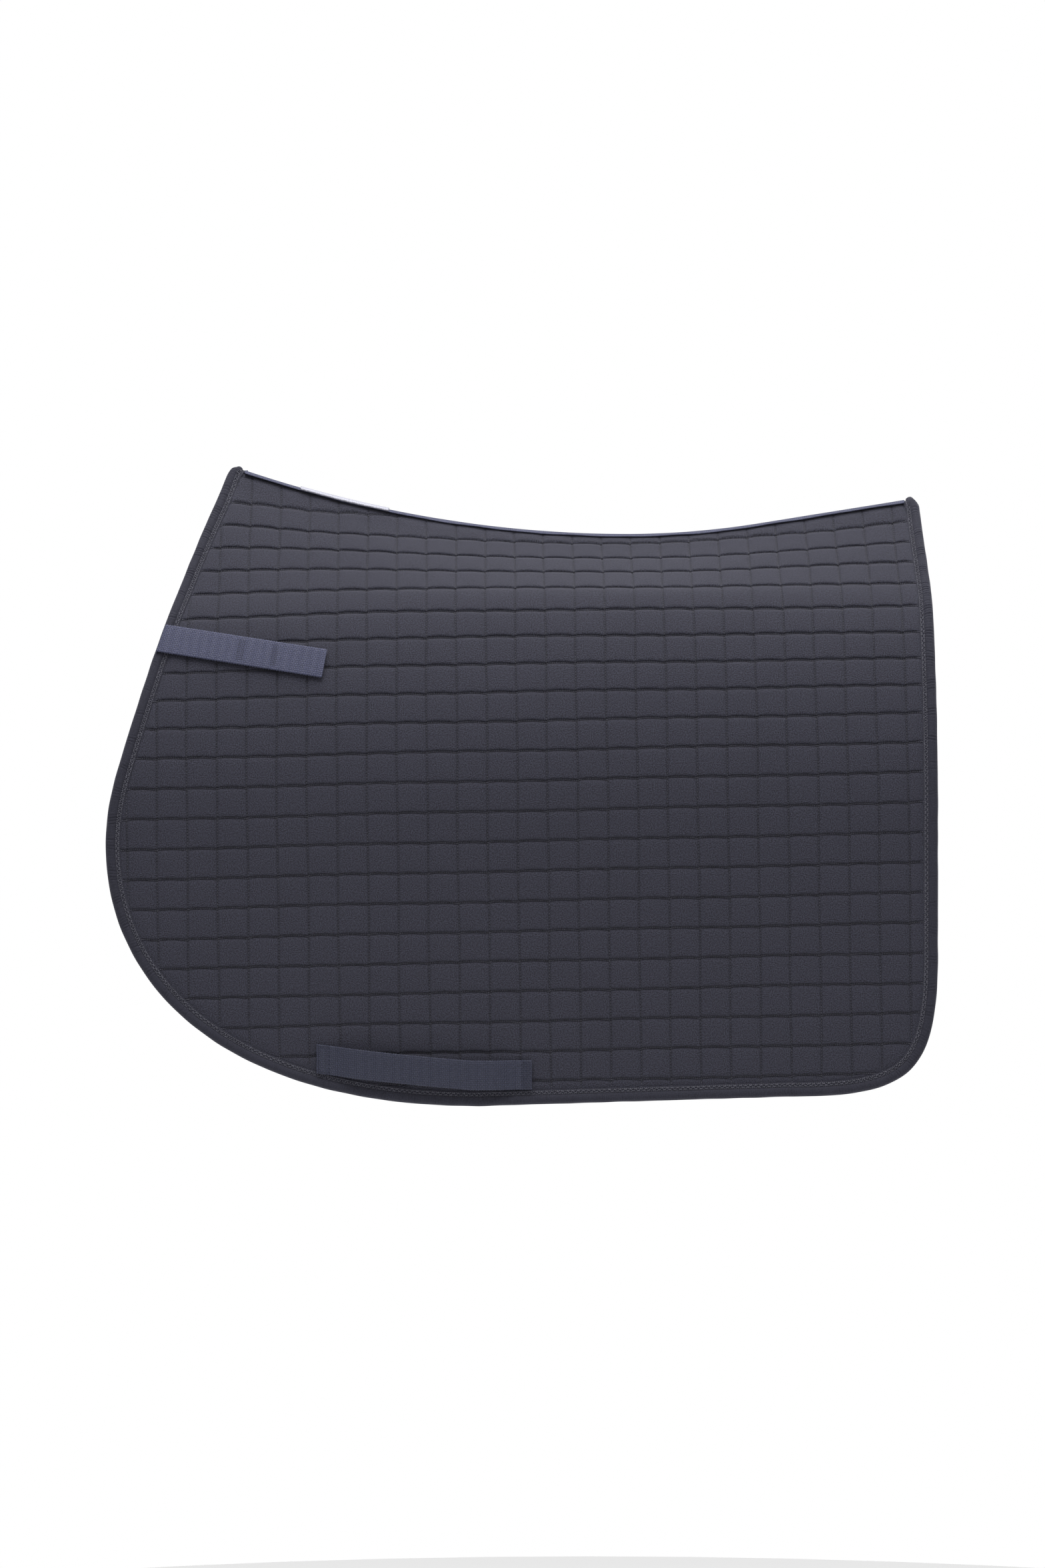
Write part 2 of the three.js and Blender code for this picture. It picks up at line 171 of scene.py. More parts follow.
# The pad's edge in the pattern: down the front, along the bottom and up the rear, from ridge to
# ridge, with the direction into the cloth at each point.
def hemLine(step=1.0):
    shape = padShape

    def bezier(a, b, c, d):
        t = np.linspace(0, 1, 400)[:, None]
        a, b, c, d = (np.array(point, float) for point in (a, b, c, d))
        return a * (1 - t) ** 3 + 3 * b * t * (1 - t) ** 2 + 3 * c * t * t * (1 - t) + d * t ** 3

    def slopeEdge(foldX, ridgeX, shares):
        x = mix(foldX, ridgeX, shares)
        return np.stack([x, -shares * slopeLength(x)], 1)

    lean, waist, deep = shape["frontLean"], shape["waistDepth"], shape["flapDepth"]
    leanLength = math.hypot(lean, 1)
    waistX = shape["foldFrontX"] - lean * waist
    rearDeep = deep - shape["rearRise"]
    rearX, run, rise, pull = (shape[key] for key in
                              ("foldRearX", "rearCornerRun", "rearCornerRise", "rearCornerPull"))
    high, low = shape["noseReachHigh"] / leanLength, shape["noseReachLow"]
    rough = np.concatenate([
        slopeEdge(shape["foldFrontX"], shape["noseX"], np.linspace(1, 0, 80)),
        [[waistX, waist]],
        bezier((waistX, waist), (waistX - high * lean, waist + high),
               (shape["bottomFrontX"] - low, deep), (shape["bottomFrontX"], deep)),
        bezier((rearX - run, rearDeep), (rearX - run + pull, rearDeep),
               (rearX, rearDeep - rise + pull), (rearX, rearDeep - rise)),
        slopeEdge(rearX, shape["loinX"], np.linspace(0, 1, 80)),
    ])
    along = np.concatenate([[0], np.cumsum(np.linalg.norm(np.diff(rough, axis=0), axis=1))])
    even = np.linspace(0, along[-1], int(along[-1] / step) + 1)
    line = np.stack([np.interp(even, along, rough[:, k]) for k in (0, 1)], 1)
    ahead = np.gradient(line, axis=0)
    ahead /= np.linalg.norm(ahead, axis=1, keepdims=True)
    inward = np.stack([ahead[:, 1], -ahead[:, 0]], 1)
    # towards the ridge the direction turns until it runs along the ridge itself
    share = np.clip(-line[:, 1] / slopeLength(line[:, 0]), 0, 1)[:, None]
    fall = (slopeLength(line[:, 0] + 1) - slopeLength(line[:, 0] - 1)) / 2
    alongRidge = np.stack([np.ones(len(line)), -fall], 1) * np.sign(inward[:, :1])
    inward = mix(inward, alongRidge, share)
    inward /= np.linalg.norm(inward, axis=1, keepdims=True)
    return {"points": line, "inward": inward, "along": even}


hem = hemLine()
hemTree = kdtree.KDTree(len(hem["points"]))
for place, point in enumerate(hem["points"]):
    hemTree.insert((point[0], point[1], 0), place)
hemTree.balance()


# How far inside the hem each point of the pattern lies, and the way into the cloth there.
def insideHem(x, s):
    found = np.array([hemTree.find((a, b, 0))[1] for a, b in zip(x, s)])
    gap = np.stack([x, s], 1) - hem["points"][found]
    inward = hem["inward"][found]
    side = np.sign((gap * inward).sum(1))
    return np.linalg.norm(gap, axis=1) * side, inward


# Building blocks for meshes.

def linkMesh(name, points, faces, uv=None, attributes=None):
    mesh = bpy.data.meshes.new(name)
    mesh.from_pydata(points.tolist(), [], faces)
    corners = np.empty(len(mesh.loops), np.int32)
    mesh.loops.foreach_get("vertex_index", corners)
    if uv is not None:
        layer = mesh.uv_layers.new(name="pattern")
        layer.data.foreach_set("uv", uv[corners].astype(np.float32).ravel())
    for key, values in (attributes or {}).items():
        made = mesh.attributes.new(key, "FLOAT", "POINT")
        made.data.foreach_set("value", values.astype(np.float32))
    mesh.polygons.foreach_set("use_smooth", np.ones(len(mesh.polygons), bool))
    piece = bpy.data.objects.new(name, mesh)
    bpy.context.scene.collection.objects.link(piece)
    facesOut(mesh)
    return piece


def facesOut(mesh):
    mesh.calc_loop_triangles()
    points = np.empty(len(mesh.vertices) * 3)
    mesh.vertices.foreach_get("co", points)
    corners = np.empty(len(mesh.loop_triangles) * 3, np.int32)
    mesh.loop_triangles.foreach_get("vertices", corners)
    a, b, c = points.reshape(-1, 3)[corners.reshape(-1, 3)].transpose(1, 0, 2)
    if np.einsum("ij,ij->", a, np.cross(b, c)) < 0:
        mesh.flip_normals()


# A closed skin round a row of section loops, shape (stations, points, 3), with flat end walls.
def tubeFaces(stations, around):
    ring = np.arange(around)
    ahead = np.roll(ring, -1)
    start = (np.arange(stations - 1) * around)[:, None]
    quads = np.stack([start + ring, start + ahead, start + ahead + around, start + ring + around], -1)
    last = (stations - 1) * around
    half = around // 2
    caps = []
    for k in range(half - 1):
        caps.append([around - 1 - k, around - 2 - k, k + 1, k])
        caps.append([last + k, last + k + 1, last + around - 2 - k, last + around - 1 - k])
    return quads.reshape(-1, 4).tolist() + caps


def giveMaterial(piece, material):
    piece.data.materials.append(material)


# Materials.

def sheetColour(code):
    shares = [int(code[k:k + 2], 16) / 255 for k in (1, 3, 5)]
    return tuple(c / 12.92 if c <= 0.04045 else ((c + 0.055) / 1.055) ** 2.4 for c in shares) + (1,)


def addNode(tree, kind, inputs=None, **settings):
    node = tree.nodes.new(kind)
    for key, value in settings.items():
        setattr(node, key, value)
    for key, value in (inputs or {}).items():
        if isinstance(value, bpy.types.NodeSocket):
            tree.links.new(value, node.inputs[key])
        else:
            node.inputs[key].default_value = value
    return node


# A cloth: threads that cross at a spacing, a blotchy dye, and a bump from both.
def clothMaterial(name, look):
    material = bpy.data.materials.new(name)
    material.use_nodes = True
    tree = material.node_tree
    tree.nodes.clear()
    if look.get("onPattern", True):
        place = addNode(tree, "ShaderNodeUVMap", uv_map="pattern").outputs["UV"]
    else:
        place = addNode(tree, "ShaderNodeTexCoord").outputs["Object"]

    def scaled(scale, turn=0):
        return addNode(tree, "ShaderNodeMapping", {
            "Vector": place, "Scale": scale, "Rotation": (0, 0, turn)}).outputs["Vector"]

    thread = 1 / (look["threadSpacing"] * mm)
    perThread = 0.318  # at this scale a wave texture repeats about once in a unit
    warp, weft = (addNode(tree, "ShaderNodeTexWave", {
        "Vector": scaled((thread,) * 3, look.get("turn", 0)), "Scale": perThread,
        "Distortion": look.get("waver", 0.6), "Detail": 1}, bands_direction=way) for way in "XY")
    weave = addNode(tree, "ShaderNodeMath", {
        0: warp.outputs["Fac"], 1: weft.outputs["Fac"]}, operation="MULTIPLY")
    streak = addNode(tree, "ShaderNodeTexNoise", {
        "Vector": scaled(tuple(1 / (size * mm) for size in look["streak"])), "Scale": 1,
        "Detail": 4, "Roughness": 0.65})
    blotch = addNode(tree, "ShaderNodeTexNoise", {
        "Vector": scaled((1 / (look["blotch"] * mm),) * 3), "Scale": 1, "Detail": 3})
    tone = addNode(tree, "ShaderNodeValToRGB", {"Fac": streak.outputs["Fac"]})
    tone.color_ramp.elements[0].position = 0.25
    tone.color_ramp.elements[1].position = 0.78
    tone.color_ramp.elements[0].color = sheetColour(look["dark"])
    tone.color_ramp.elements[1].color = sheetColour(look["light"])
    strength = addNode(tree, "ShaderNodeMath", {
        0: blotch.outputs["Fac"], 1: look.get("fading", 0.3)}, operation="MULTIPLY")
    dyed = addNode(tree, "ShaderNodeMix", {
        0: strength.outputs[0], 6: tone.outputs["Color"], 7: sheetColour(look["faded"])},
        data_type="RGBA")
    colour = dyed.outputs[2]
    # painted shade: the colour is darkened in the pits between the woven threads, by pitShade
    threads = addNode(tree, "ShaderNodeMix", {
        0: weave.outputs[0], 6: (look["pitShade"],) * 3 + (1,), 7: (1, 1, 1, 1)}, data_type="RGBA")
    pitShadedColour = addNode(tree, "ShaderNodeMix", {0: 1.0, 6: colour, 7: threads.outputs[2]},
                   data_type="RGBA", blend_type="MULTIPLY")
    colour = pitShadedColour.outputs[2]
    # painted shade: the colour is darkened along the quilting's seam creases, where the seam attribute
    # is high
    if look.get("paintedSeamShade"):
        seam = addNode(tree, "ShaderNodeAttribute", attribute_name="seam")
        grey = look["paintedSeamShade"]
        shaded = addNode(tree, "ShaderNodeMix", {
            0: seam.outputs["Fac"], 6: (1, 1, 1, 1), 7: (grey, grey, grey, 1)}, data_type="RGBA")
        colour = addNode(tree, "ShaderNodeMix", {0: 1.0, 6: colour, 7: shaded.outputs[2]},
                         data_type="RGBA", blend_type="MULTIPLY").outputs[2]
    # the fibres' grain, dark between light
    speck = addNode(tree, "ShaderNodeTexNoise", {
        "Vector": scaled((1 / (look.get("grainSize", 0.9) * mm),) * 3), "Scale": 1, "Detail": 2})
    depth = look.get("grain", 0.3)
    speckle = addNode(tree, "ShaderNodeMapRange", {
        "Value": speck.outputs["Fac"], "From Min": 0.3, "From Max": 0.7,
        "To Min": 1 - depth, "To Max": 1 + depth})
    colour = addNode(tree, "ShaderNodeVectorMath", {
        0: colour, "Scale": speckle.outputs[0]}, operation="SCALE").outputs[0]
    relief = addNode(tree, "ShaderNodeMath", {
        0: weave.outputs[0], 1: speck.outputs["Fac"]}, operation="ADD")
    bump = addNode(tree, "ShaderNodeBump", {
        "Height": relief.outputs[0], "Strength": look["bump"], "Distance": look["relief"] * mm})
    rough = addNode(tree, "ShaderNodeMapRange", {
        "Value": streak.outputs["Fac"], "To Min": look["roughness"] - 0.06,
        "To Max": look["roughness"] + 0.06})
    surface = addNode(tree, "ShaderNodeBsdfPrincipled", {
        "Base Color": colour, "Roughness": rough.outputs[0], "Normal": bump.outputs[0],
        "IOR": 1.5, "Specular IOR Level": look.get("specular", 0.3),
        "Sheen Weight": look["sheen"], "Sheen Roughness": look["sheenRoughness"],
        "Sheen Tint": sheetColour(look["sheenTint"])})
    addNode(tree, "ShaderNodeOutputMaterial", {"Surface": surface.outputs[0]})
    return material


def makeMaterials():
    # Cotton-polyester twill, dyed anthracite and lightly brushed: matt, with a faint bloom of
    # fibre at a glancing angle.  Its threads are 0.35 mm apart, drawn at 0.9 mm so that they show.
    coverTwill = clothMaterial("anthraciteTwill", {
        "threadSpacing": 0.9, "turn": 0.6, "dark": "#292933", "light": "#3e3e4b", "faded": "#3d3d4a",
        "streak": (0.8, 2.0, 1.0), "blotch": 45, "fading": 0.35, "pitShade": 0.86, "bump": 0.7,
        "relief": 0.25, "roughness": 0.82, "grain": 0.75, "grainSize": 0.9, "sheen": 0.4,
        "sheenRoughness": 0.4, "sheenTint": "#c9c9d6", "paintedSeamShade": 0.3})
    # The same cloth inside the pad, washed softer and less bright.
    liningTwill = clothMaterial("brushedLining", {
        "threadSpacing": 1.0, "turn": 0.6, "dark": "#272730", "light": "#383844", "faded": "#383844",
        "streak": (1.4, 3.0, 1.4), "blotch": 60, "fading": 0.4, "pitShade": 0.88, "bump": 0.6,
        "relief": 0.2, "roughness": 0.9, "sheen": 0.45, "sheenRoughness": 0.5,
        "sheenTint": "#b5b5c4", "paintedSeamShade": 0.5})
    # Cotton binding tape, woven with fine ribs across its length.
    ribbedTape = clothMaterial("ribbedBindingTape", {
        "threadSpacing": 0.8, "dark": "#24242e", "light": "#383845", "faded": "#373744",
        "streak": (6.0, 0.7, 1.0), "blotch": 30, "fading": 0.35, "pitShade": 0.82, "bump": 0.7,
        "relief": 0.2, "roughness": 0.8, "sheen": 0.3, "sheenRoughness": 0.4,
        "sheenTint": "#c4c4d4"})
    # Polypropylene webbing: stiff shiny threads, bluer than the cloth.
    webbingLook = {
        "threadSpacing": 1.8, "streak": (0.9, 4.0, 1.0), "blotch": 22, "fading": 0.3,
        "pitShade": 0.6, "bump": 0.9, "relief": 0.3, "sheen": 0.2, "sheenRoughness": 0.3,
        "sheenTint": "#c8ccec"}
    strapWebbing = clothMaterial("polypropyleneWebbing", {
        **webbingLook, "dark": "#3c3f57", "light": "#56597a", "faded": "#5a5e80",
        "roughness": 0.58, "specular": 0.5})
    # The girth loop's is dyed darker.
    girthWebbing = clothMaterial("girthLoopWebbing", {
        **webbingLook, "dark": "#2c2f42", "light": "#404359", "faded": "#43465e",
        "roughness": 0.6, "specular": 0.45})
    # Spun polyester sewing thread, a little lighter than the cloth and a little glossy.
    threadLook = {
        "onPattern": False, "threadSpacing": 0.5, "streak": (2.0, 2.0, 2.0), "blotch": 8,
        "fading": 0.4, "pitShade": 0.8, "bump": 0.3, "relief": 0.1, "roughness": 0.55,
        "sheen": 0.1, "sheenRoughness": 0.3, "sheenTint": "#d0d0dd", "specular": 0.5}
    quiltingThread = clothMaterial("spunPolyesterThread", {
        **threadLook, "dark": "#2e2e38", "light": "#62626e", "faded": "#787885"})
    # The same thread in navy, for the bar tacks.
    tackThread = clothMaterial("navyTackThread", {
        **threadLook, "dark": "#1c1e2c", "light": "#2e3044", "faded": "#343650"})
    # Nylon hook tape and its looped partner.
    hookNylon = clothMaterial("hookTapeNylon", {
        "threadSpacing": 1.4, "dark": "#1b1c24", "light": "#2c2d38", "faded": "#30313d",
        "streak": (1.0, 1.0, 1.0), "blotch": 10, "pitShade": 0.5, "bump": 1.0, "relief": 0.6,
        "roughness": 0.6, "sheen": 0.1, "sheenRoughness": 0.4, "sheenTint": "#9a9ab0"})
    loopNylon = clothMaterial("loopTapeNylon", {
        "threadSpacing": 0.8, "waver": 6.0, "dark": "#23242e", "light": "#3a3b48", "faded": "#3f404e",
        "streak": (0.8, 0.8, 0.8), "blotch": 8, "pitShade": 0.7, "bump": 1.0, "relief": 0.7,
        "roughness": 0.92, "sheen": 0.7, "sheenRoughness": 0.6, "sheenTint": "#a8a8bc"})
    # Woven polyester satin, blank, near white with a cold cast.
    labelSatin = clothMaterial("blankLabelSatin", {
        "threadSpacing": 0.5, "dark": "#b4b4c2", "light": "#c6c6d2", "faded": "#c0c0cc",
        "streak": (3.0, 0.6, 1.0), "blotch": 20, "pitShade": 0.93, "bump": 0.4, "relief": 0.1,
        "roughness": 0.4, "sheen": 0.1, "sheenRoughness": 0.3, "sheenTint": "#ffffff",
        "specular": 0.5})
    return {
        "cover": coverTwill, "lining": liningTwill, "binding": ribbedTape, "strap": strapWebbing,
        "girth": girthWebbing, "thread": quiltingThread, "tack": tackThread, "hook": hookNylon,
        "loop": loopNylon, "label": labelSatin}


# Quilting.

quilt = {
    "rowPitch": 25.25, "firstRow": 15.9, "rowRise": 0.0209, "levelX": 30,
    "columnPitch": 25.3, "firstColumn": -398.9, "columnLean": 0.012, "leanFrom": 160,
    "step": 0.8,              # each cell's seam climbs to the rear, then steps back at the column
    "stepWidth": 0.05,        # of a cell
    "waver": 0.35,
    "seamHeight": 3.6, "puffHeight": 4.6, "columnShare": 0.6, "crown": 0.6,
    "floor": 0.5,             # half the width of the channel that a row of stitches lies in
    "topRoll": 4.0, "bottomRoll": 1.7, "columnRoll": 4.0,
    "rowCrease": 1.1, "creaseWidth": 0.9, "columnCrease": 0.8, "arch": 1.0,
    "clampedHeight": 3.3, "clampFrom": 11.0, "clampTo": 17.0,
    "spineFrom": 4.0, "spineTo": 16.0,
    # the rows sink a little at the front and the rear
    "droop": 3.6, "droopFrom": 200, "droopTo": 400, "droopShare": 0.8, "fadeFrom": 50, "fadeTo": 120,
    "rearDroop": 3.4, "rearFrom": -200, "rearTo": 230, "rearDepth": 25, "rearReach": 60,
    # and draw away from the spine, less within gatherEnds of its ends
    "gather": 8.5, "gatherFrom": 30, "gatherTo": 110, "gatherEnds": 90, "gatherLeast": 0.25,
    "seamReach": 6, "rowWave": 37, "columnWave": 31,
    "bottomPower": 2.4, "crownSkew": 1.15, "columnCreaseWidth": 0.6, "columnSeam": 0.7,
    "spineRaise": 0.8,
    "uneven": 0.14, "seed": 11,
    "rowOffsets": (0, 0.4, 0.8, 1.3, 2.0, 3.2, 5.0, 8.0, 12.0, 16.0, 19.4, 21.8, 23.2, 24.0, 24.5,
                   24.9),
    "columnOffsets": (0, 0.5, 1.2, 2.4, 4.6, 8.2, 12.65, 17.1, 20.7, 22.9, 24.1, 24.8),
    "liningEvery": 2,
}
dice = np.random.default_rng(quilt["seed"])
cellChance = dice.uniform(-1, 1, (64, 64))
rowPhase = dice.uniform(0, 2 * math.pi, 64)


# The pattern point at column u and row v of the quilting, counted in cells.
def quiltPoint(u, v):
    q = quilt
    column = q["firstColumn"] + q["columnPitch"] * u
    row = q["firstRow"] + q["rowPitch"] * v
    s = row - q["rowRise"] * (column - q["columnLean"] * q["leanFrom"] - q["levelX"])
    s = s / (1 + q["rowRise"] * q["columnLean"])
    x = column + q["columnLean"] * (s - q["leanFrom"])
    off = u - np.round(u)
    saw = np.where(np.abs(off) < q["stepWidth"], -off / q["stepWidth"] * (0.5 - q["stepWidth"]),
                   -np.sign(off) * (0.5 - np.abs(off)))
    near = np.exp(-((v - np.round(v)) * q["rowPitch"] / q["seamReach"]) ** 2)
    phase = rowPhase[(np.round(v).astype(int) + 10) % 64]
    fade = 1 - q["droopShare"] * smoothStep(q["fadeFrom"], q["fadeTo"], s)
    s = s + q["droop"] * smoothStep(q["droopFrom"], q["droopTo"], -x) * fade
    byDepth = np.exp(-((s - q["rearDepth"]) / q["rearReach"]) ** 2)
    s = s + q["rearDroop"] * smoothStep(q["rearFrom"], q["rearTo"], x) * byDepth
    fromEnds = np.minimum(x - padShape["noseX"], padShape["loinX"] - x)
    inside = mix(q["gatherLeast"], 1, smoothStep(0, q["gatherEnds"], fromEnds))
    s = s + q["gather"] * inside * smoothStep(q["gatherFrom"], q["gatherTo"], -s)
    # each stretch of seam arches up between its columns
    arch = q["arch"] * np.abs(np.sin(math.pi * u)) ** 0.8
    s = s + near * (q["step"] * saw + q["waver"] * np.sin(x / q["rowWave"] + phase) - arch)
    side = np.exp(-(off * q["columnPitch"] / q["seamReach"]) ** 2)
    phase = rowPhase[(np.round(u).astype(int) + 30) % 64]
    x = x + side * q["waver"] * np.sin(s / q["columnWave"] + phase)
    return x, s


# Height of the cloth over the middle surface, and how deep in a seam each point lies; the second is the
# mask by which the cloth's material paints shade into the creases.
def puffAt(u, v, x, fromHem, fromSpine):
    q = quilt
    tilt = slopeTiltAt(x)
    spineHeight = np.sin(tilt) * (spine["coverOut"] * np.sin(tilt) + spine["tapeGap"] + q["spineRaise"])
    off = np.abs(u - np.round(u)) * q["columnPitch"]
    share = v - np.floor(v)
    below = np.maximum(share * q["rowPitch"] - q["floor"], 0)
    above = np.maximum((1 - share) * q["rowPitch"] - q["floor"], 0)
    chance = cellChance[np.floor(u).astype(int) % 64, np.floor(v).astype(int) % 64]
    top = 1 - (1 - np.clip(below / q["topRoll"], 0, 1)) ** 2
    bottom = 1 - (1 - np.clip(above / q["bottomRoll"], 0, 1)) ** q["bottomPower"]
    side = 1 - (1 - np.clip(off / q["columnRoll"], 0, 1)) ** 2
    puff = top * bottom * (1 - q["columnShare"] * (1 - side))
    puff = puff * (1 + q["uneven"] * chance)
    toRow = np.minimum(share, 1 - share) * q["rowPitch"]
    atRow = np.exp(-(toRow / q["creaseWidth"]) ** 2)
    atColumn = np.exp(-(off / q["columnCreaseWidth"]) ** 2)
    across = np.cos(math.pi * (u - np.floor(u) - 0.5))
    crown = q["crown"] * np.sin(math.pi * share ** q["crownSkew"]) * across
    height = q["seamHeight"] + (q["puffHeight"] - q["seamHeight"]) * puff + crown
    height = height - q["rowCrease"] * atRow - q["columnCrease"] * atColumn
    held = smoothStep(q["clampFrom"], q["clampTo"], fromHem)
    bySpine = smoothStep(q["spineFrom"], q["spineTo"], fromSpine)
    height = mix(spineHeight, height, bySpine)
    # the seam mask, near the row and column creases, sets where painted shade darkens the cloth
    seam = np.clip(atRow + q["columnSeam"] * atColumn, 0, 1) * held * bySpine
    return mix(q["clampedHeight"], height, held), seam


def quiltStations(count, pitch, offsets, every):
    offsets = np.array(offsets[::every])
    return (np.arange(*count)[:, None] + offsets[None, :] / pitch).ravel()


# The quilting's grid over one half, cut off at the hem and the spine.
def quiltGrid(every):
    u = quiltStations((-3, 28), quilt["columnPitch"], quilt["columnOffsets"], every)
    v = quiltStations((-8, 19), quilt["rowPitch"], quilt["rowOffsets"], every)
    u, v = np.meshgrid(u, v)
    rows, columns = u.shape
    u, v = u.ravel(), v.ravel()
    x, s = quiltPoint(u, v)
    fromHem, inward = insideHem(x, s)
    fromSpine = s + slopeLength(x)
    hemMargin, spineMargin = 2.5, 0.3
    inside = (fromHem > hemMargin) & (fromSpine > spineMargin)
    a = (np.arange(rows - 1)[:, None] * columns + np.arange(columns - 1)).ravel()
    quads = np.stack([a, a + 1, a + columns + 1, a + columns], 1)
    quads = quads[inside[quads].all(1)]
    used = np.unique(quads)
    renamed = np.full(rows * columns, -1)
    renamed[used] = np.arange(len(used))
    quads = renamed[quads]
    u, v, x, s, fromHem, inward, fromSpine = (
        values[used] for values in (u, v, x, s, fromHem, inward, fromSpine))
    loop = rimLoop(quads)
    # the ragged rim is drawn out to the hem and the spine
    toHem = fromHem[loop] < fromSpine[loop]
    shift = np.where(toHem, fromHem[loop] - hemMargin, 0)
    x[loop] -= inward[loop, 0] * shift
    s[loop] -= inward[loop, 1] * shift
    s[loop] -= np.where(toHem, 0, fromSpine[loop] - spineMargin)
    return {"u": u, "v": v, "x": x, "s": s, "fromHem": insideHem(x, s)[0],
            "fromSpine": s + slopeLength(x), "quads": quads, "loop": loop}


def rimLoop(quads):
    edges = np.concatenate([quads[:, [k, (k + 1) % 4]] for k in range(4)])
    there = set(map(tuple, edges.tolist()))
    after = {a: b for a, b in there if (b, a) not in there}
    start = next(iter(after))
    loop = [start]
    while after[loop[-1]] != start:
        loop.append(after[loop[-1]])
    if len(loop) != len(after):
        raise ValueError("the quilted cloth has more than one rim")
    return np.array(loop)


# A closed half of the cloth: the quilted face, a rim and a plain back against the foam.
def quiltedCloth(name, hand, grid, side, material):
    backHeight = 0.4
    backSpacing = 25
    height, seam = puffAt(grid["u"], grid["v"], grid["x"], grid["fromHem"], grid["fromSpine"])
    face = drape(hand, grid["x"], grid["s"], side * height)
    rim = grid["loop"]
    flat = [tuple(p) for p in np.stack([grid["x"][rim], grid["s"][rim]], 1).tolist()]
    ticks = np.arange(-450, 450, backSpacing)
    innerX, innerS = (a.ravel() for a in np.meshgrid(ticks, ticks))
    deep = np.minimum(insideHem(innerX, innerS)[0], innerS + slopeLength(innerX)) > 12
    flat += list(zip(innerX[deep].tolist(), innerS[deep].tolist()))
    cut = geometry.delaunay_2d_cdt(flat, [], [list(range(len(rim)))], 1, 1e-5)
    backPoints = np.array([tuple(p) for p in cut[0]])
    back = drape(hand, backPoints[:, 0], backPoints[:, 1], side * backHeight)
    points = np.concatenate([face, back])
    start = len(face)
    backOf = {origin: place for place, origins in enumerate(cut[3]) for origin in origins}
    backRim = [start + backOf[k] for k in range(len(rim))]
    faces = grid["quads"].tolist()
    flip = triangleTurn(grid) * triangleTurn({"x": backPoints[:, 0], "s": backPoints[:, 1],
                                              "quads": np.array([cut[2][0]])})
    for triangle in cut[2]:
        corners = [start + k for k in triangle]
        faces.append(corners[::-1] if flip > 0 else corners)
    for k in range(len(rim)):
        after = (k + 1) % len(rim)
        faces.append([int(rim[after]), int(rim[k]), backRim[k], backRim[after]])
    uv = np.concatenate([np.stack([grid["x"], grid["s"]], 1), backPoints]) * mm
    # the seam attribute is the mask for painted shade along the creases; the plain back has none
    seams = np.concatenate([seam, np.zeros(len(back))])
    piece = linkMesh(name, points, faces, uv, {"seam": seams})
    giveMaterial(piece, material)
    return piece


def triangleTurn(grid):
    a, b, c = grid["quads"][0][:3]
    x, s = grid["x"], grid["s"]
    return np.sign((x[b] - x[a]) * (s[c] - s[a]) - (x[c] - x[a]) * (s[b] - s[a]))


# Stitches.

stitching = {
    "row": {"Pitch": 1.55, "Length": 1.45, "Width": 0.95, "Height": 0.95, "Slack": 0.2, "Seed": 3},
    "column": {"Pitch": 2.5, "Length": 1.8, "Width": 0.5, "Height": 0.45, "Slack": 0.12, "Seed": 5},
    "hem": {"Pitch": 1.7, "Length": 1.7, "Width": 1.1, "Height": 1.0, "Slack": 0.25, "Seed": 7},
    "tack": {"Pitch": 1.6, "Length": 1.5, "Width": 0.6, "Height": 0.5, "Slack": 0.12, "Seed": 9},
    "rowLift": 0.65, "columnLift": 0.08, "hemLift": 0.15, "zigzag": 2.2,
    "stopAtHem": 11.5, "stopAtSpine": 10,
}


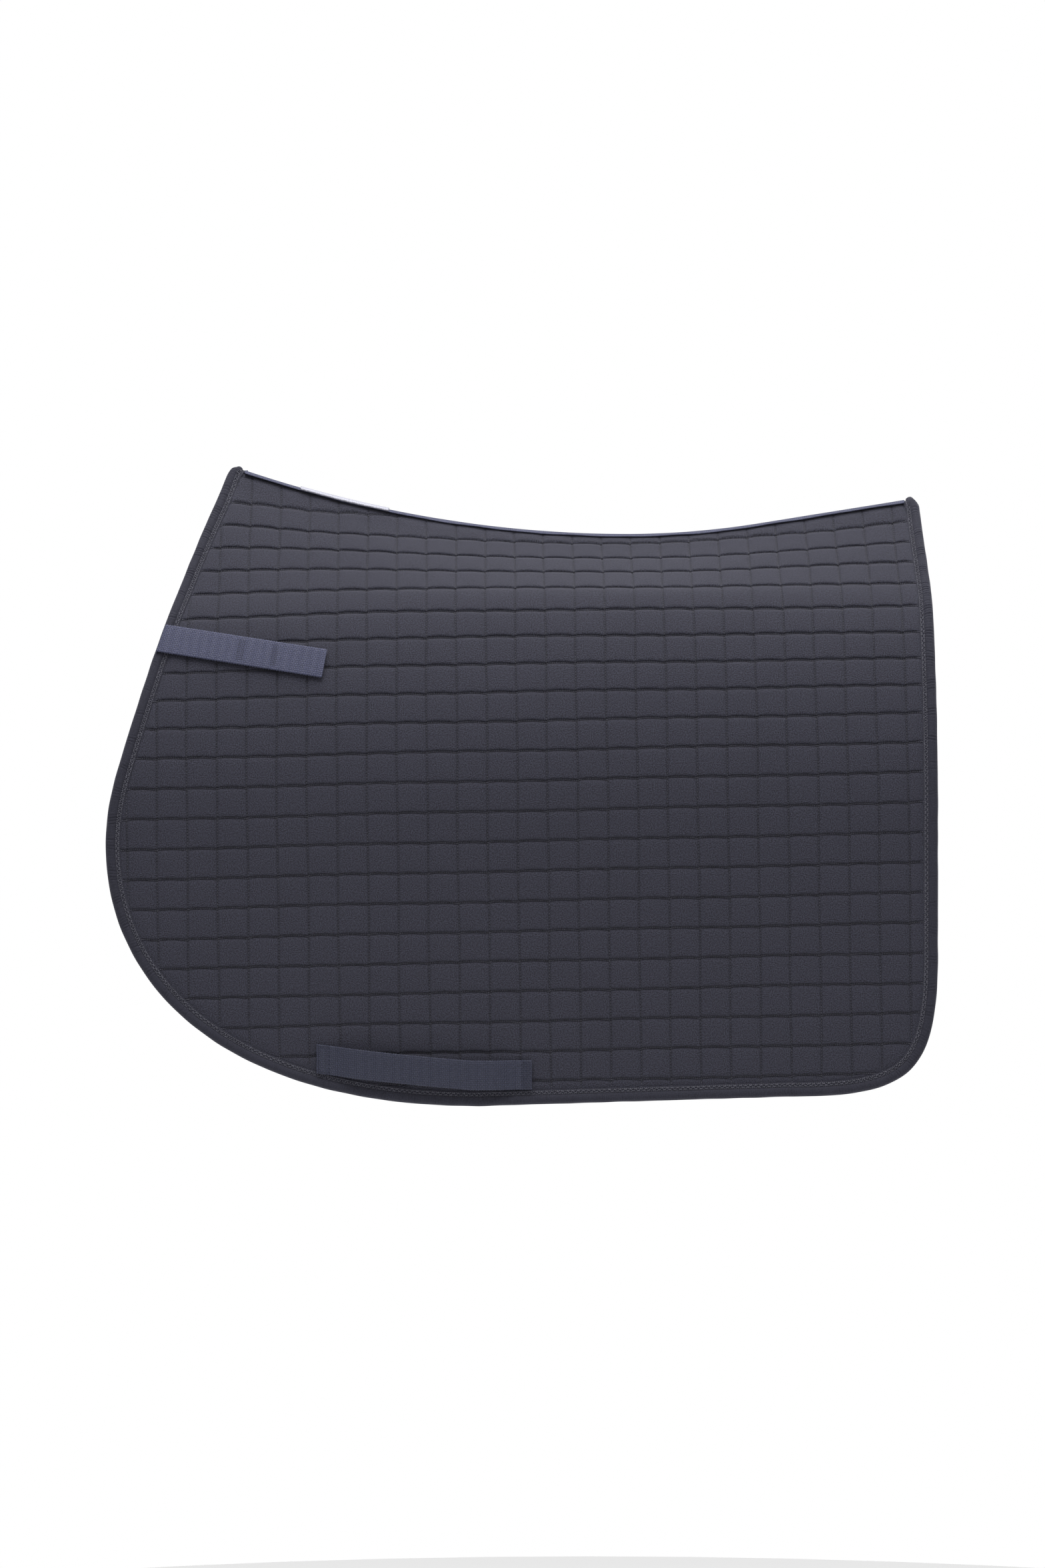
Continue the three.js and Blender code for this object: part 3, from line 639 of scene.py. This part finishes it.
# One stitch every so often along a seam line, its long side along the seam.
def seamStitchTree():
    tree = bpy.data.node_groups.new("seamStitches", "GeometryNodeTree")
    socket = tree.interface.new_socket
    socket("Seam", in_out="INPUT", socket_type="NodeSocketGeometry")
    for name in ("Pitch", "Length", "Width", "Height", "Slack"):
        socket(name, in_out="INPUT", socket_type="NodeSocketFloat")
    socket("Seed", in_out="INPUT", socket_type="NodeSocketInt")
    socket("Thread", in_out="INPUT", socket_type="NodeSocketMaterial")
    socket("Stitches", in_out="OUTPUT", socket_type="NodeSocketGeometry")
    given = addNode(tree, "NodeGroupInput").outputs
    line = addNode(tree, "GeometryNodeMeshToCurve", {"Mesh": given["Seam"]})
    spaced = addNode(tree, "GeometryNodeResampleCurve", {
        "Curve": line.outputs[0], "Length": given["Pitch"]}, mode="LENGTH")
    bead = addNode(tree, "GeometryNodeMeshIcoSphere", {"Radius": 0.5, "Subdivisions": 1})
    size = addNode(tree, "ShaderNodeCombineXYZ", {
        "X": given["Length"], "Y": given["Width"], "Z": given["Height"]})
    stitch = addNode(tree, "GeometryNodeTransform", {
        "Geometry": bead.outputs["Mesh"], "Scale": size.outputs[0]})
    smooth = addNode(tree, "GeometryNodeSetShadeSmooth", {"Geometry": stitch.outputs[0]})
    # unnamed sockets are found by place where one node carries several kinds
    swing = addNode(tree, "FunctionNodeRandomValue", {
        0: (-1, -1, -1), 1: (1, 1, 1), "Seed": given["Seed"]}, data_type="FLOAT_VECTOR")
    slack = addNode(tree, "ShaderNodeVectorMath", {
        0: swing.outputs[0]}, operation="SCALE")
    tree.links.new(given["Slack"], slack.inputs["Scale"])
    ahead = addNode(tree, "GeometryNodeInputTangent")
    way = addNode(tree, "ShaderNodeVectorMath", {
        0: ahead.outputs[0], 1: slack.outputs[0]}, operation="ADD")
    along = addNode(tree, "FunctionNodeAlignRotationToVector", {"Vector": way.outputs[0]}, axis="X")
    up = addNode(tree, "GeometryNodeInputNamedAttribute", {"Name": "outward"},
                 data_type="FLOAT_VECTOR")
    upright = addNode(tree, "FunctionNodeAlignRotationToVector", {
        "Rotation": along.outputs[0], "Vector": up.outputs["Attribute"]}, axis="Z", pivot_axis="X")
    sown = addNode(tree, "GeometryNodeInstanceOnPoints", {
        "Points": spaced.outputs[0], "Instance": smooth.outputs[0], "Rotation": upright.outputs[0]})
    real = addNode(tree, "GeometryNodeRealizeInstances", {"Geometry": sown.outputs[0]})
    dyed = addNode(tree, "GeometryNodeSetMaterial", {
        "Geometry": real.outputs[0], "Material": given["Thread"]})
    addNode(tree, "NodeGroupOutput", {"Stitches": dyed.outputs[0]})
    return tree


# lines is a list of (x, s, n) arrays in the pattern.
def sewLines(name, hand, lines, look, tree, material):
    points, outward, edges = [], [], []
    for x, s, n in lines:
        start = sum(len(p) for p in points)
        points.append(drape(hand, x, s, n))
        outward.append(outwardAt(hand, x, s, n))
        edges += [(start + k, start + k + 1) for k in range(len(points[-1]) - 1)]
    mesh = bpy.data.meshes.new(name)
    mesh.from_pydata(np.concatenate(points).tolist(), edges, [])
    made = mesh.attributes.new("outward", "FLOAT_VECTOR", "POINT")
    made.data.foreach_set("vector", np.concatenate(outward).astype(np.float32).ravel())
    piece = bpy.data.objects.new(name, mesh)
    bpy.context.scene.collection.objects.link(piece)
    modifier = piece.modifiers.new("stitches", "NODES")
    modifier.node_group = tree
    for item in tree.interface.items_tree:
        if item.in_out == "INPUT" and item.name in look:
            share = 1 if item.name in ("Seed", "Slack") else mm
            modifier[item.identifier] = look[item.name] * share
        if item.name == "Thread":
            modifier[item.identifier] = material
    graph = bpy.context.evaluated_depsgraph_get()
    sewn = bpy.data.meshes.new_from_object(piece.evaluated_get(graph))
    piece.modifiers.remove(modifier)
    piece.data = sewn
    return piece


def unbroken(keep):
    runs = np.split(np.arange(len(keep)), np.flatnonzero(np.diff(keep.astype(int))) + 1)
    return [run for run in runs if len(run) > 3 and keep[run[0]]]


def quiltLines(along, side):
    lines = []
    fine = np.arange(-3, 28, 0.05)
    fineRows = np.arange(-8, 18.5, 26.5 / len(fine))[:len(fine)]
    counts = range(-7, 18) if along == "row" else range(-2, 27)
    lift = stitching[along + "Lift"]
    for k in counts:
        steady = np.full_like(fine, k)
        u, v = (fine, steady) if along == "row" else (steady, fineRows)
        x, s = quiltPoint(u, v)
        fromHem = insideHem(x, s)[0]
        fromSpine = s + slopeLength(x)
        n = side * (puffAt(u, v, x, fromHem, fromSpine)[0] + lift)
        keep = (fromHem > stitching["stopAtHem"]) & (fromSpine > stitching["stopAtSpine"])
        lines += [(x[run], s[run], n[run]) for run in unbroken(keep)]
    return lines


# Edge binding.

binding = {
    # the tape's outer face, as (distance in from the edge, height), from its inner edge outwards
    "face": ((12.4, 3.4), (12.3, 4.2), (11.9, 4.6), (11.5, 4.3), (11.1, 4.1), (10.6, 4.3),
             (9.8, 4.5), (9.0, 4.3), (8.6, 3.95), (8.2, 4.3), (7.6, 5.3), (6.4, 6.05), (4.8, 6.4),
             (3.4, 6.25), (2.2, 5.7), (1.2, 4.7), (0.5, 3.3), (0.1, 1.7)),
    "core": ((1.3, 0.0), (2.6, 3.0), (7.0, 3.6), (12.0, 3.35)),
    "ribPitch": 2.6, "ribDepth": 0.38, "clusterPitch": 23, "waver": 0.2,
    "step": 0.5, "seams": (11.3, 8.7),
    "ridgeStand": 6.0, "ridgeBulgeReach": 11, "ridgeTurn": 3.6,
    "crownHeight": 6.4, "sideHeight": 3.4,
}


# The hem's points, and the way into the cloth, at lengths along it.
def hemAt(along):
    return [np.stack([np.interp(along, hem["along"], hem[key][:, k]) for k in (0, 1)], 1)
            for key in ("points", "inward")]


def makeBinding(name, hand, material):
    look = binding
    face = list(look["face"])
    under = [(inset, -height) for inset, height in face[::-1]]
    core = [(inset, -height) for inset, height in look["core"][::-1]]
    core += [(inset, height) for inset, height in look["core"][1:]]
    section = np.array(face + [(0.0, 0.0)] + under + core)
    along = np.arange(0, hem["along"][-1], look["step"])
    at, inward = hemAt(along)
    inset, height = section[:, 0][None, :], section[:, 1][None, :]
    # fine ribs that come and go in clusters, and an edge that wanders a little
    cluster = np.clip(np.sin(along / look["clusterPitch"] * 2 * math.pi)
                      + 0.8 * np.sin(along / 61 + 1.1) + 0.3, 0, 1)[:, None]
    # each rib is a narrow pinched fold that runs askew across the tape
    askew = along[:, None] + 0.25 * (inset - 5) * np.sin(along / 13)[:, None]
    rib = np.sin(askew / look["ribPitch"] * 2 * math.pi + 2.0 * np.sin(askew / 17))
    rib = rib + 0.6 * np.sin(askew / 1.37 + 1.5 * np.sin(askew / 5.3))
    rib = 0.5 - np.exp(-1.2 * (rib + 1.2) ** 2) * 1.6
    onRoll = np.exp(-((inset - 5.0) / 4.0) ** 4) * (np.abs(height) > 1)
    wander = look["waver"] * (np.sin(along / 19) * np.sin(along / 7.3 + 1) + 0.4 * np.sin(along / 4.1))
    height = height + np.sign(height) * look["ribDepth"] * rib * (0.1 + cluster) * onRoll
    inset = inset - wander[:, None] * np.exp(-(inset / 5) ** 2) * 0.6
    fromRidge = (at[:, 1] + slopeLength(at[:, 0]))[:, None]
    # the tape is turned in over the ridge, and stands over the spine webbing there
    bulge = np.exp(-(fromRidge / look["ridgeBulgeReach"]) ** 2)
    tilt = slopeTiltAt(at[:, :1])
    wanted = np.sin(tilt) * (spine["coverOut"] * np.sin(tilt) + look["ridgeStand"])
    rolled = np.clip(height / look["sideHeight"], 0, 1) * np.exp(-(np.maximum(inset - 7, 0) / 3) ** 2)
    height = height + (wanted - look["crownHeight"]) * bulge * rolled
    inset = inset + look["ridgeTurn"] * bulge * np.clip(height / 5, 0, 1)
    x = at[:, :1] + inward[:, :1] * inset
    s = at[:, 1:] + inward[:, 1:] * inset
    points = drape(hand, x, s, height)
    stations, around = x.shape
    uv = np.stack([np.broadcast_to(inset, x.shape).ravel(), np.repeat(along, around)], 1) * mm
    piece = linkMesh(name, points.reshape(-1, 3), tubeFaces(stations, around), uv)
    giveMaterial(piece, material)
    return piece


def bindingSeams():
    lines = []
    heights = np.array(binding["face"])
    for inset in binding["seams"]:
        n = np.interp(-inset, -heights[:, 0], heights[:, 1]) + stitching["hemLift"]
        x = hem["points"][:, 0] + hem["inward"][:, 0] * inset
        s = hem["points"][:, 1] + hem["inward"][:, 1] * inset
        keep = s + slopeLength(x) > 3
        for side in (1, -1):
            lines.append((x[keep][::2], s[keep][::2], np.full(keep.sum(), side * n)[::2]))
    # a third thread crosses from one to the other and back
    along = np.arange(0, hem["along"][-1], stitching["zigzag"])
    at, inward = hemAt(along)
    inset = np.where(np.arange(len(along)) % 2, *binding["seams"])
    x, s = at[:, 0] + inward[:, 0] * inset, at[:, 1] + inward[:, 1] * inset
    keep = s + slopeLength(x) > 3
    lines.append((x[keep], s[keep], np.full(keep.sum(), 4.6)))
    return lines


# Webbing.

webbing = {
    "width": 25.5, "thick": 1.4, "pick": 2.3, "warp": 1.7, "relief": 0.24, "scallop": 0.4,
    "step": 0.4, "across": 61, "acrossBack": 11,
}


# A woven band.  place turns (along, across, height over its middle) into pattern points.
def makeBand(name, hand, length, place, material, width=None, thick=None, woven=True):
    width, thick = width or webbing["width"], thick or webbing["thick"]
    along = np.linspace(length[0], length[1], int((length[1] - length[0]) / webbing["step"]) + 1)
    face = np.linspace(-1, 1, webbing["across"])
    back = np.linspace(1, -1, webbing["acrossBack"])[1:-1]
    share = np.concatenate([face, back])
    isFace = np.concatenate([np.ones(len(face)), -np.ones(len(back))])
    swell = np.sqrt(np.maximum(1 - np.abs(share) ** 12, 0.0))
    pick = 2 * math.pi * along[:, None] / webbing["pick"]
    a = share[None, :] * width / 2
    # the end corners are cut a little round
    fromEnd = np.minimum(along - length[0], length[1] - along)[:, None]
    a = a * (1 - 0.03 * np.clip(1 - fromEnd / 1.5, 0, 1) ** 2)
    b = np.broadcast_to(isFace[None, :] * thick / 2 * swell[None, :], a.shape)
    gap = np.zeros(a.shape)
    if woven:
        crossing = np.sin(pick + 0.5 * math.pi * np.cos(math.pi * a / webbing["warp"]))
        gap = np.clip(0.5 - 0.7 * crossing, 0, 1)
        b = b + isFace[None, :] * webbing["relief"] * crossing * swell[None, :]
        a = a + np.sign(a) * webbing["scallop"] * np.maximum(np.sin(pick), -0.4) * np.abs(share) ** 6
    x, s, n = place(np.broadcast_to(along[:, None], a.shape), a, b)
    points = drape(hand, x, s, n)
    uv = np.stack([a.ravel(), np.repeat(along, len(share))], 1) * mm
    faces = bandFaces(len(along), len(face), len(share))
    piece = linkMesh(name, points.reshape(-1, 3), faces, uv, {"seam": gap.ravel()})
    giveMaterial(piece, material)
    return piece


def bandFaces(stations, face, around):
    faces = tubeFaces(stations, around)[:(stations - 1) * around]
    last = (stations - 1) * around
    for start, turn in ((0, 1), (last, -1)):
        rim = list(range(start, start + around))
        faces.append(rim[::-1] if turn > 0 else rim)
    return faces


girth = {
    "frontX": -264, "length": 181, "aboveHem": 40.4, "dip": 13.6, "ease": 0.72,
    "sewnHeight": 6.8, "rise": 7, "sewn": 12, "ramp": 24, "width": 24.7,
    "ripple": 0.25, "rippleWave": 11,
}


def girthMiddle(along):
    fall = np.minimum(along / girth["length"] / girth["ease"], 1)
    depth = padShape["flapDepth"] - girth["aboveHem"] + girth["dip"] * fall * (1.25 - 0.25 * fall)
    return girth["frontX"] + along, depth


def girthHeight(along):
    fromEnd = np.minimum(along, girth["length"] - along) - girth["sewn"]
    return girth["sewnHeight"] + girth["rise"] * smoothStep(0, girth["ramp"], fromEnd)


def girthPlace(along, a, b):
    x, s = girthMiddle(along)
    fromEnd = np.minimum(along, girth["length"] - along)
    ripple = girth["ripple"] * np.sin(along / girth["rippleWave"]) * smoothStep(10, 30, fromEnd)
    return x, s + a, girthHeight(along) + webbing["thick"] / 2 + b + ripple


def makeGirthLoop(side, hand, materials, tree):
    loop = makeBand(f"girth_webbing_{side}", hand, (0, girth["length"]), girthPlace,
                    materials["girth"], girth["width"])
    top = webbing["thick"] + 0.1
    lines = []

    def stitchLine(alongs, acrosses):
        x, s = girthMiddle(alongs)
        lines.append((x, s + acrosses, girthHeight(alongs) + top))

    reach = webbing["width"] / 2 - 2
    up = np.linspace(-reach, reach, 12)
    for at in (2.0, 7.5, 10.5):
        stitchLine(np.full(12, at), up)
    for edge in (-reach, reach):
        stitchLine(np.linspace(2, 10.5, 8), np.full(8, edge))
    front = len(lines)
    for at in np.linspace(girth["length"] - 8.5, girth["length"] - 1.5, 7):
        stitchLine(np.full(12, at), up)
    sewn = stitching["tack"]
    name = f"girth_box_stitch_{side}"
    box = sewLines(name, hand, lines[:front], sewn, tree, materials["tack"])
    name = f"girth_bar_tack_{side}"
    bar = sewLines(name, hand, lines[front:], sewn, tree, materials["tack"])
    return loop, box, bar


billet = {
    "depth": 46.7, "slope": 9.4, "length": 140.5, "over": 8.0, "pivotOut": -2.6, "anchor": 46,
    "bulge": 0.3, "turnShare": 0.7, "patchStart": 67, "patchLength": 32, "patchWidth": 20,
    "hookHeight": 6.9, "loopHeight": 5.3, "patchThick": 1.0,
}


# The length of webbing that goes round the edge.
def billetTurn():
    return math.pi * (billet["over"] + webbing["thick"] / 2) * billet["turnShare"]


# The strap lies straight in its flat pattern and is folded round the pad's front edge.
def billetPlace(along, a, b):
    lean = padShape["frontLean"]
    edge = np.array([-lean, 1]) / math.hypot(lean, 1)
    inward = np.array([edge[1], -edge[0]])
    start = np.array([padShape["foldFrontX"] - lean * billet["depth"], billet["depth"]])
    start = start - inward * billet["pivotOut"]
    slope = math.radians(billet["slope"])
    ahead = np.array([math.cos(slope), math.sin(slope)])
    square = np.array([-ahead[1], ahead[0]])
    flat = along[..., None] * ahead + a[..., None] * square
    fromEdge, downEdge = flat @ inward, flat @ edge
    radius = billet["over"] + webbing["thick"] / 2
    turnLength = billetTurn()
    turn = np.clip(-fromEdge / turnLength, 0, 1) * math.pi
    reach = np.where(fromEdge > 0, fromEdge, 0) + np.maximum(-fromEdge - turnLength, 0)
    reach = reach - (billet["bulge"] + b) * np.sin(turn)
    n = (radius + b) * np.cos(turn)
    x = start[0] + inward[0] * reach + edge[0] * downEdge
    s = start[1] + inward[1] * reach + edge[1] * downEdge
    return x, s, n


def billetPatch(height):
    def place(along, a, b):
        x, s, n = billetPlace(along, a, 0 * b)
        return x, s, height + billet["patchThick"] / 2 + b
    return place


def makeBillet(side, hand, materials, tree):
    hidden = billet["anchor"] + billetTurn()
    strap = makeBand(f"billet_webbing_{side}", hand, (-hidden, billet["length"]), billetPlace,
                     materials["strap"])
    patch = (billet["patchStart"], billet["patchStart"] + billet["patchLength"])
    hook = makeBand(f"hook_patch_{side}", hand, patch, billetPatch(billet["hookHeight"]),
                    materials["hook"], billet["patchWidth"], billet["patchThick"], False)
    loop = makeBand(f"loop_patch_{side}", hand, patch, billetPatch(billet["loopHeight"]),
                    materials["loop"], billet["patchWidth"], billet["patchThick"], False)
    reach = billet["patchWidth"] / 2 - 1.5
    up = np.linspace(-reach, reach, 10)
    top = webbing["thick"] / 2 + 0.1
    sewn = []
    for at in (patch[0] + 1.5, patch[1] - 1.5):
        for step in (-2.1, -0.7, 0.7, 2.1):
            sewn.append(billetPlace(np.full(10, at + step), up, np.full(10, top)))
    name = f"strap_patch_stitch_{side}"
    box = sewLines(name, hand, sewn, stitching["tack"], tree, materials["tack"])
    sewn = []
    for at in np.linspace(-hidden + 3, -hidden + 13, 6):
        sewn.append(billetPlace(np.full(10, at), up, np.full(10, top)))
    name = f"anchor_bar_tack_{side}"
    bar = sewLines(name, hand, sewn, stitching["tack"], tree, materials["tack"])
    return strap, hook, loop, box, bar


# Along the spine.

spine = {
    "tapeHalf": 9.0, "tapeThick": 1.6, "tapeGap": 0.8, "droop": 2.0, "coverOut": 5.0,
    "labelThick": 1.0, "labelGap": 0.4, "step": 0.8, "ruffle": 0.3, "seamTapeHalf": 10.0,
    "seamTapeThick": 1.0, "seamTapeGap": 0.4, "weave": 0.06, "weavePitch": 1.7, "ruffleWave": 9.0,
    "ruffleBeat": 31.0,
}


# A band along the spine, nearly flat on top of the cover, at its CAD node's height.
def spineBand(name, node, base, thick, ruffle, material, half, turned=0):
    low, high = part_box(node)
    along = np.arange(low.x / mm, high.x / mm, spine["step"])
    face = np.linspace(-1, 1, 41)
    share = np.concatenate([face, face[::-1][1:-1]])[None, :]
    isFace = np.concatenate([np.ones(len(face)), np.zeros(len(face) - 2)])[None, :]
    x = along[:, None] + 0 * share
    crest = ridgeZ(x) + spine["coverOut"] * np.sin(slopeTiltAt(x)) + base
    swell = np.sqrt(np.maximum(1 - np.abs(share) ** 8, 0))
    z = crest + thick * mix(0.5, isFace, swell) - spine["droop"] * share ** 2
    ripple = ruffle * np.sin(x / spine["ruffleWave"] + 3 * share)
    z = z + ripple * np.sin(x / spine["ruffleBeat"]) * np.abs(share)
    z = z - turned * smoothStep(0.93, 1, np.abs(share))
    z = z + spine["weave"] * np.sin(2 * math.pi * x / spine["weavePitch"]) * isFace * swell
    points = np.stack([x, share * half + 0 * x, z], -1) * mm
    uv = np.stack([(share * half + 0 * x).ravel(), x.ravel()], 1) * mm
    faces = bandFaces(len(along), len(face), share.shape[1])
    piece = linkMesh(name, points.reshape(-1, 3), faces, uv)
    giveMaterial(piece, material)
    return piece


# The tape under the lining's seam, on both slopes.
def makeSeamTape(material):
    low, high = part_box("spine_seam_tape")
    along = np.arange(low.x / mm, high.x / mm, 4)
    face = np.linspace(-1, 1, 21)
    share = np.concatenate([face, face[::-1]])[None, :]
    isFace = np.concatenate([np.zeros(len(face)), np.ones(len(face))])[None, :]
    x = along[:, None] + 0 * share
    n = -spine["coverOut"] - spine["seamTapeGap"] - spine["seamTapeThick"] * (1 - isFace)
    s = np.abs(share) * spine["seamTapeHalf"] - slopeLength(x)
    points = np.where((share > 0)[..., None], drape(1, x, s, n), drape(-1, x, s, n))
    middle = len(face) // 2
    points[:, [middle, len(face) + middle], 1] = 0
    uv = np.stack([(share * spine["seamTapeHalf"] + 0 * x).ravel(), x.ravel()], 1) * mm
    faces = bandFaces(len(along), len(face), share.shape[1])
    piece = linkMesh("lining_seam_tape", points.reshape(-1, 3), faces, uv)
    giveMaterial(piece, material)
    return piece


# Studio.

studio = {
    "floorZ": -1.25, "floorRadius": 2.1, "aim": (-0.09, 0, -0.2), "skyLow": 0.1, "skyHigh": 0.65,
    "key": {"at": (-0.5, -1.7, 2.6), "size": 2.2, "power": 62},
    "top": {"at": (0.2, 0.1, 2.6), "size": 2.4, "power": 48},
    "fill": {"at": (0.8, -3.4, 0.2), "size": 2.4, "power": 10},
}


def makeStudio():
    material = bpy.data.materials.new("mattWhiteFloor")
    material.use_nodes = True
    shader = material.node_tree.nodes["Principled BSDF"]
    shader.inputs["Base Color"].default_value = sheetColour("#f4f4f4")
    shader.inputs["Roughness"].default_value = 0.9
    turns = np.linspace(0, 2 * math.pi, 96, endpoint=False)
    rim = np.stack([np.cos(turns), np.sin(turns), 0 * turns], 1) * studio["floorRadius"]
    rim[:, 2] = studio["floorZ"]
    mesh = bpy.data.meshes.new("floor")
    mesh.from_pydata(rim.tolist(), [], [list(range(len(rim)))])
    floor = bpy.data.objects.new("floor", mesh)
    bpy.context.scene.collection.objects.link(floor)
    giveMaterial(floor, material)
    for name in ("key", "top", "fill"):
        look = studio[name]
        data = bpy.data.lights.new(name, "AREA")
        data.shape = "DISK"
        data.size = look["size"]
        data.energy = look["power"]
        light = bpy.data.objects.new(name, data)
        light.location = look["at"]
        aim = np.array(studio["aim"]) - np.array(look["at"])
        light.rotation_euler = Vector(aim).to_track_quat("-Z", "Y").to_euler()
        bpy.context.scene.collection.objects.link(light)
    world = bpy.data.worlds.new("studio")
    bpy.context.scene.world = world
    world.use_nodes = True
    tree = world.node_tree
    tree.nodes.clear()
    ray = addNode(tree, "ShaderNodeLightPath")
    seen = addNode(tree, "ShaderNodeBackground", {"Color": (1, 1, 1, 1), "Strength": 1.0})
    up = addNode(tree, "ShaderNodeTexCoord")
    split = addNode(tree, "ShaderNodeSeparateXYZ", {"Vector": up.outputs["Generated"]})
    level = addNode(tree, "ShaderNodeMapRange", {
        "Value": split.outputs["Z"], "From Min": -1, "From Max": 1,
        "To Min": studio["skyLow"], "To Max": studio["skyHigh"]})
    lit = addNode(tree, "ShaderNodeBackground", {"Color": (1, 1, 1, 1), "Strength": level.outputs[0]})
    both = addNode(tree, "ShaderNodeMixShader", {
        0: ray.outputs["Is Camera Ray"], 1: lit.outputs[0], 2: seen.outputs[0]})
    addNode(tree, "ShaderNodeOutputWorld", {"Surface": both.outputs[0]})
    bpy.context.scene.view_settings.view_transform = "Standard"


# Assembly.

makeCamera()
makeStudio()
materials = makeMaterials()
stitches = seamStitchTree()
print("camera, studio and materials are ready")

coverGrid = quiltGrid(1)
liningGrid = quiltGrid(quilt["liningEvery"])
print("quilting laid out:", len(coverGrid["x"]), "points on the cover")


def flapBlend(piece, side):
    hand = hands[side]
    start = drape(hand, -60.0, -22.0, 0.0)
    end = drape(hand, -60.0, 22.0, 0.0)
    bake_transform(piece)


def standFor(piece, slot, *nodes):
    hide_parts(*nodes)


for side, hand in hands.items():
    cover = quiltedCloth(f"quilted_cover_{side}", hand, coverGrid, 1, materials["cover"])
    standFor(cover, "cover_fabric", f"cover_slope_{side}", f"cover_flap_{side}",
             f"foam_slope_{side}", f"foam_flap_{side}")
    lining = quiltedCloth(f"quilted_lining_{side}", hand, liningGrid, -1, materials["lining"])
    standFor(lining, "lining_fabric", f"lining_slope_{side}", f"lining_flap_{side}")
    print("quilted half done:", side)
    rows = sewLines(f"row_stitches_{side}", hand, quiltLines("row", 1), stitching["row"], stitches,
                    materials["thread"])
    columns = sewLines(f"column_stitches_{side}", hand, quiltLines("column", 1),
                       stitching["column"], stitches, materials["thread"])
    inner = sewLines(f"lining_stitches_{side}", hand, quiltLines("row", -1),
                     stitching["column"], stitches, materials["thread"])
    edge = makeBinding(f"edge_binding_{side}", hand, materials["binding"])
    arch = [] if side == "right" else ["binding_arch_front", "binding_arch_rear"]
    standFor(edge, "binding_tape", f"binding_flap_{side}", *arch)
    edgeSeams = sewLines(f"binding_stitches_{side}", hand, bindingSeams(), stitching["hem"],
                         stitches, materials["thread"])
    for piece in (cover, lining, rows, columns, inner, edge, edgeSeams):
        flapBlend(piece, side)
    loop, box, bar = makeGirthLoop(side, hand, materials, stitches)
    standFor(loop, "webbing", f"girth_loop_{side}")
    standFor(box, "thread", f"girth_tack_front_{side}")
    standFor(bar, "thread", f"girth_tack_rear_{side}")
    strap, hook, pile, patchBox, anchorBar = makeBillet(side, hand, materials, stitches)
    standFor(strap, "webbing", f"billet_strap_{side}", f"strap_anchor_{side}")
    standFor(hook, "hook_tape", f"strap_hook_patch_{side}")
    standFor(pile, "loop_tape", f"strap_loop_patch_{side}")
    standFor(anchorBar, "thread", f"strap_anchor_tack_{side}")
    for piece in (loop, box, bar, pile, anchorBar):
        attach(piece, f"flap_{side}")
    for piece in (hook, patchBox):
        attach(piece, f"strap_{side}")
    pivot = billetPlace(np.array([0.0]), np.array([0.0]), np.array([0.0]))
    start = drape(hand, pivot[0], pivot[1], np.array([-6.5]))[0]
    end = drape(hand, pivot[0], pivot[1], np.array([6.5]))[0]
    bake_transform(strap)
    print("binding and straps done:", side)

tape = spineBand("spine_webbing", "spine_tape", spine["tapeGap"], spine["tapeThick"],
                 spine["ruffle"], materials["strap"], spine["tapeHalf"])
standFor(tape, "webbing", "spine_tape")
label = spineBand("blank_withers_label", "withers_label",
                  spine["tapeGap"] + spine["tapeThick"] + spine["labelGap"], spine["labelThick"],
                  0.15, materials["label"], spine["tapeHalf"] + 0.7, 1.4)
standFor(label, "label", "withers_label")
seamTape = makeSeamTape(materials["lining"])
standFor(seamTape, "seam_tape", "spine_seam_tape")
for piece in (tape, label, seamTape):
    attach(piece, "back")
print("spine done")
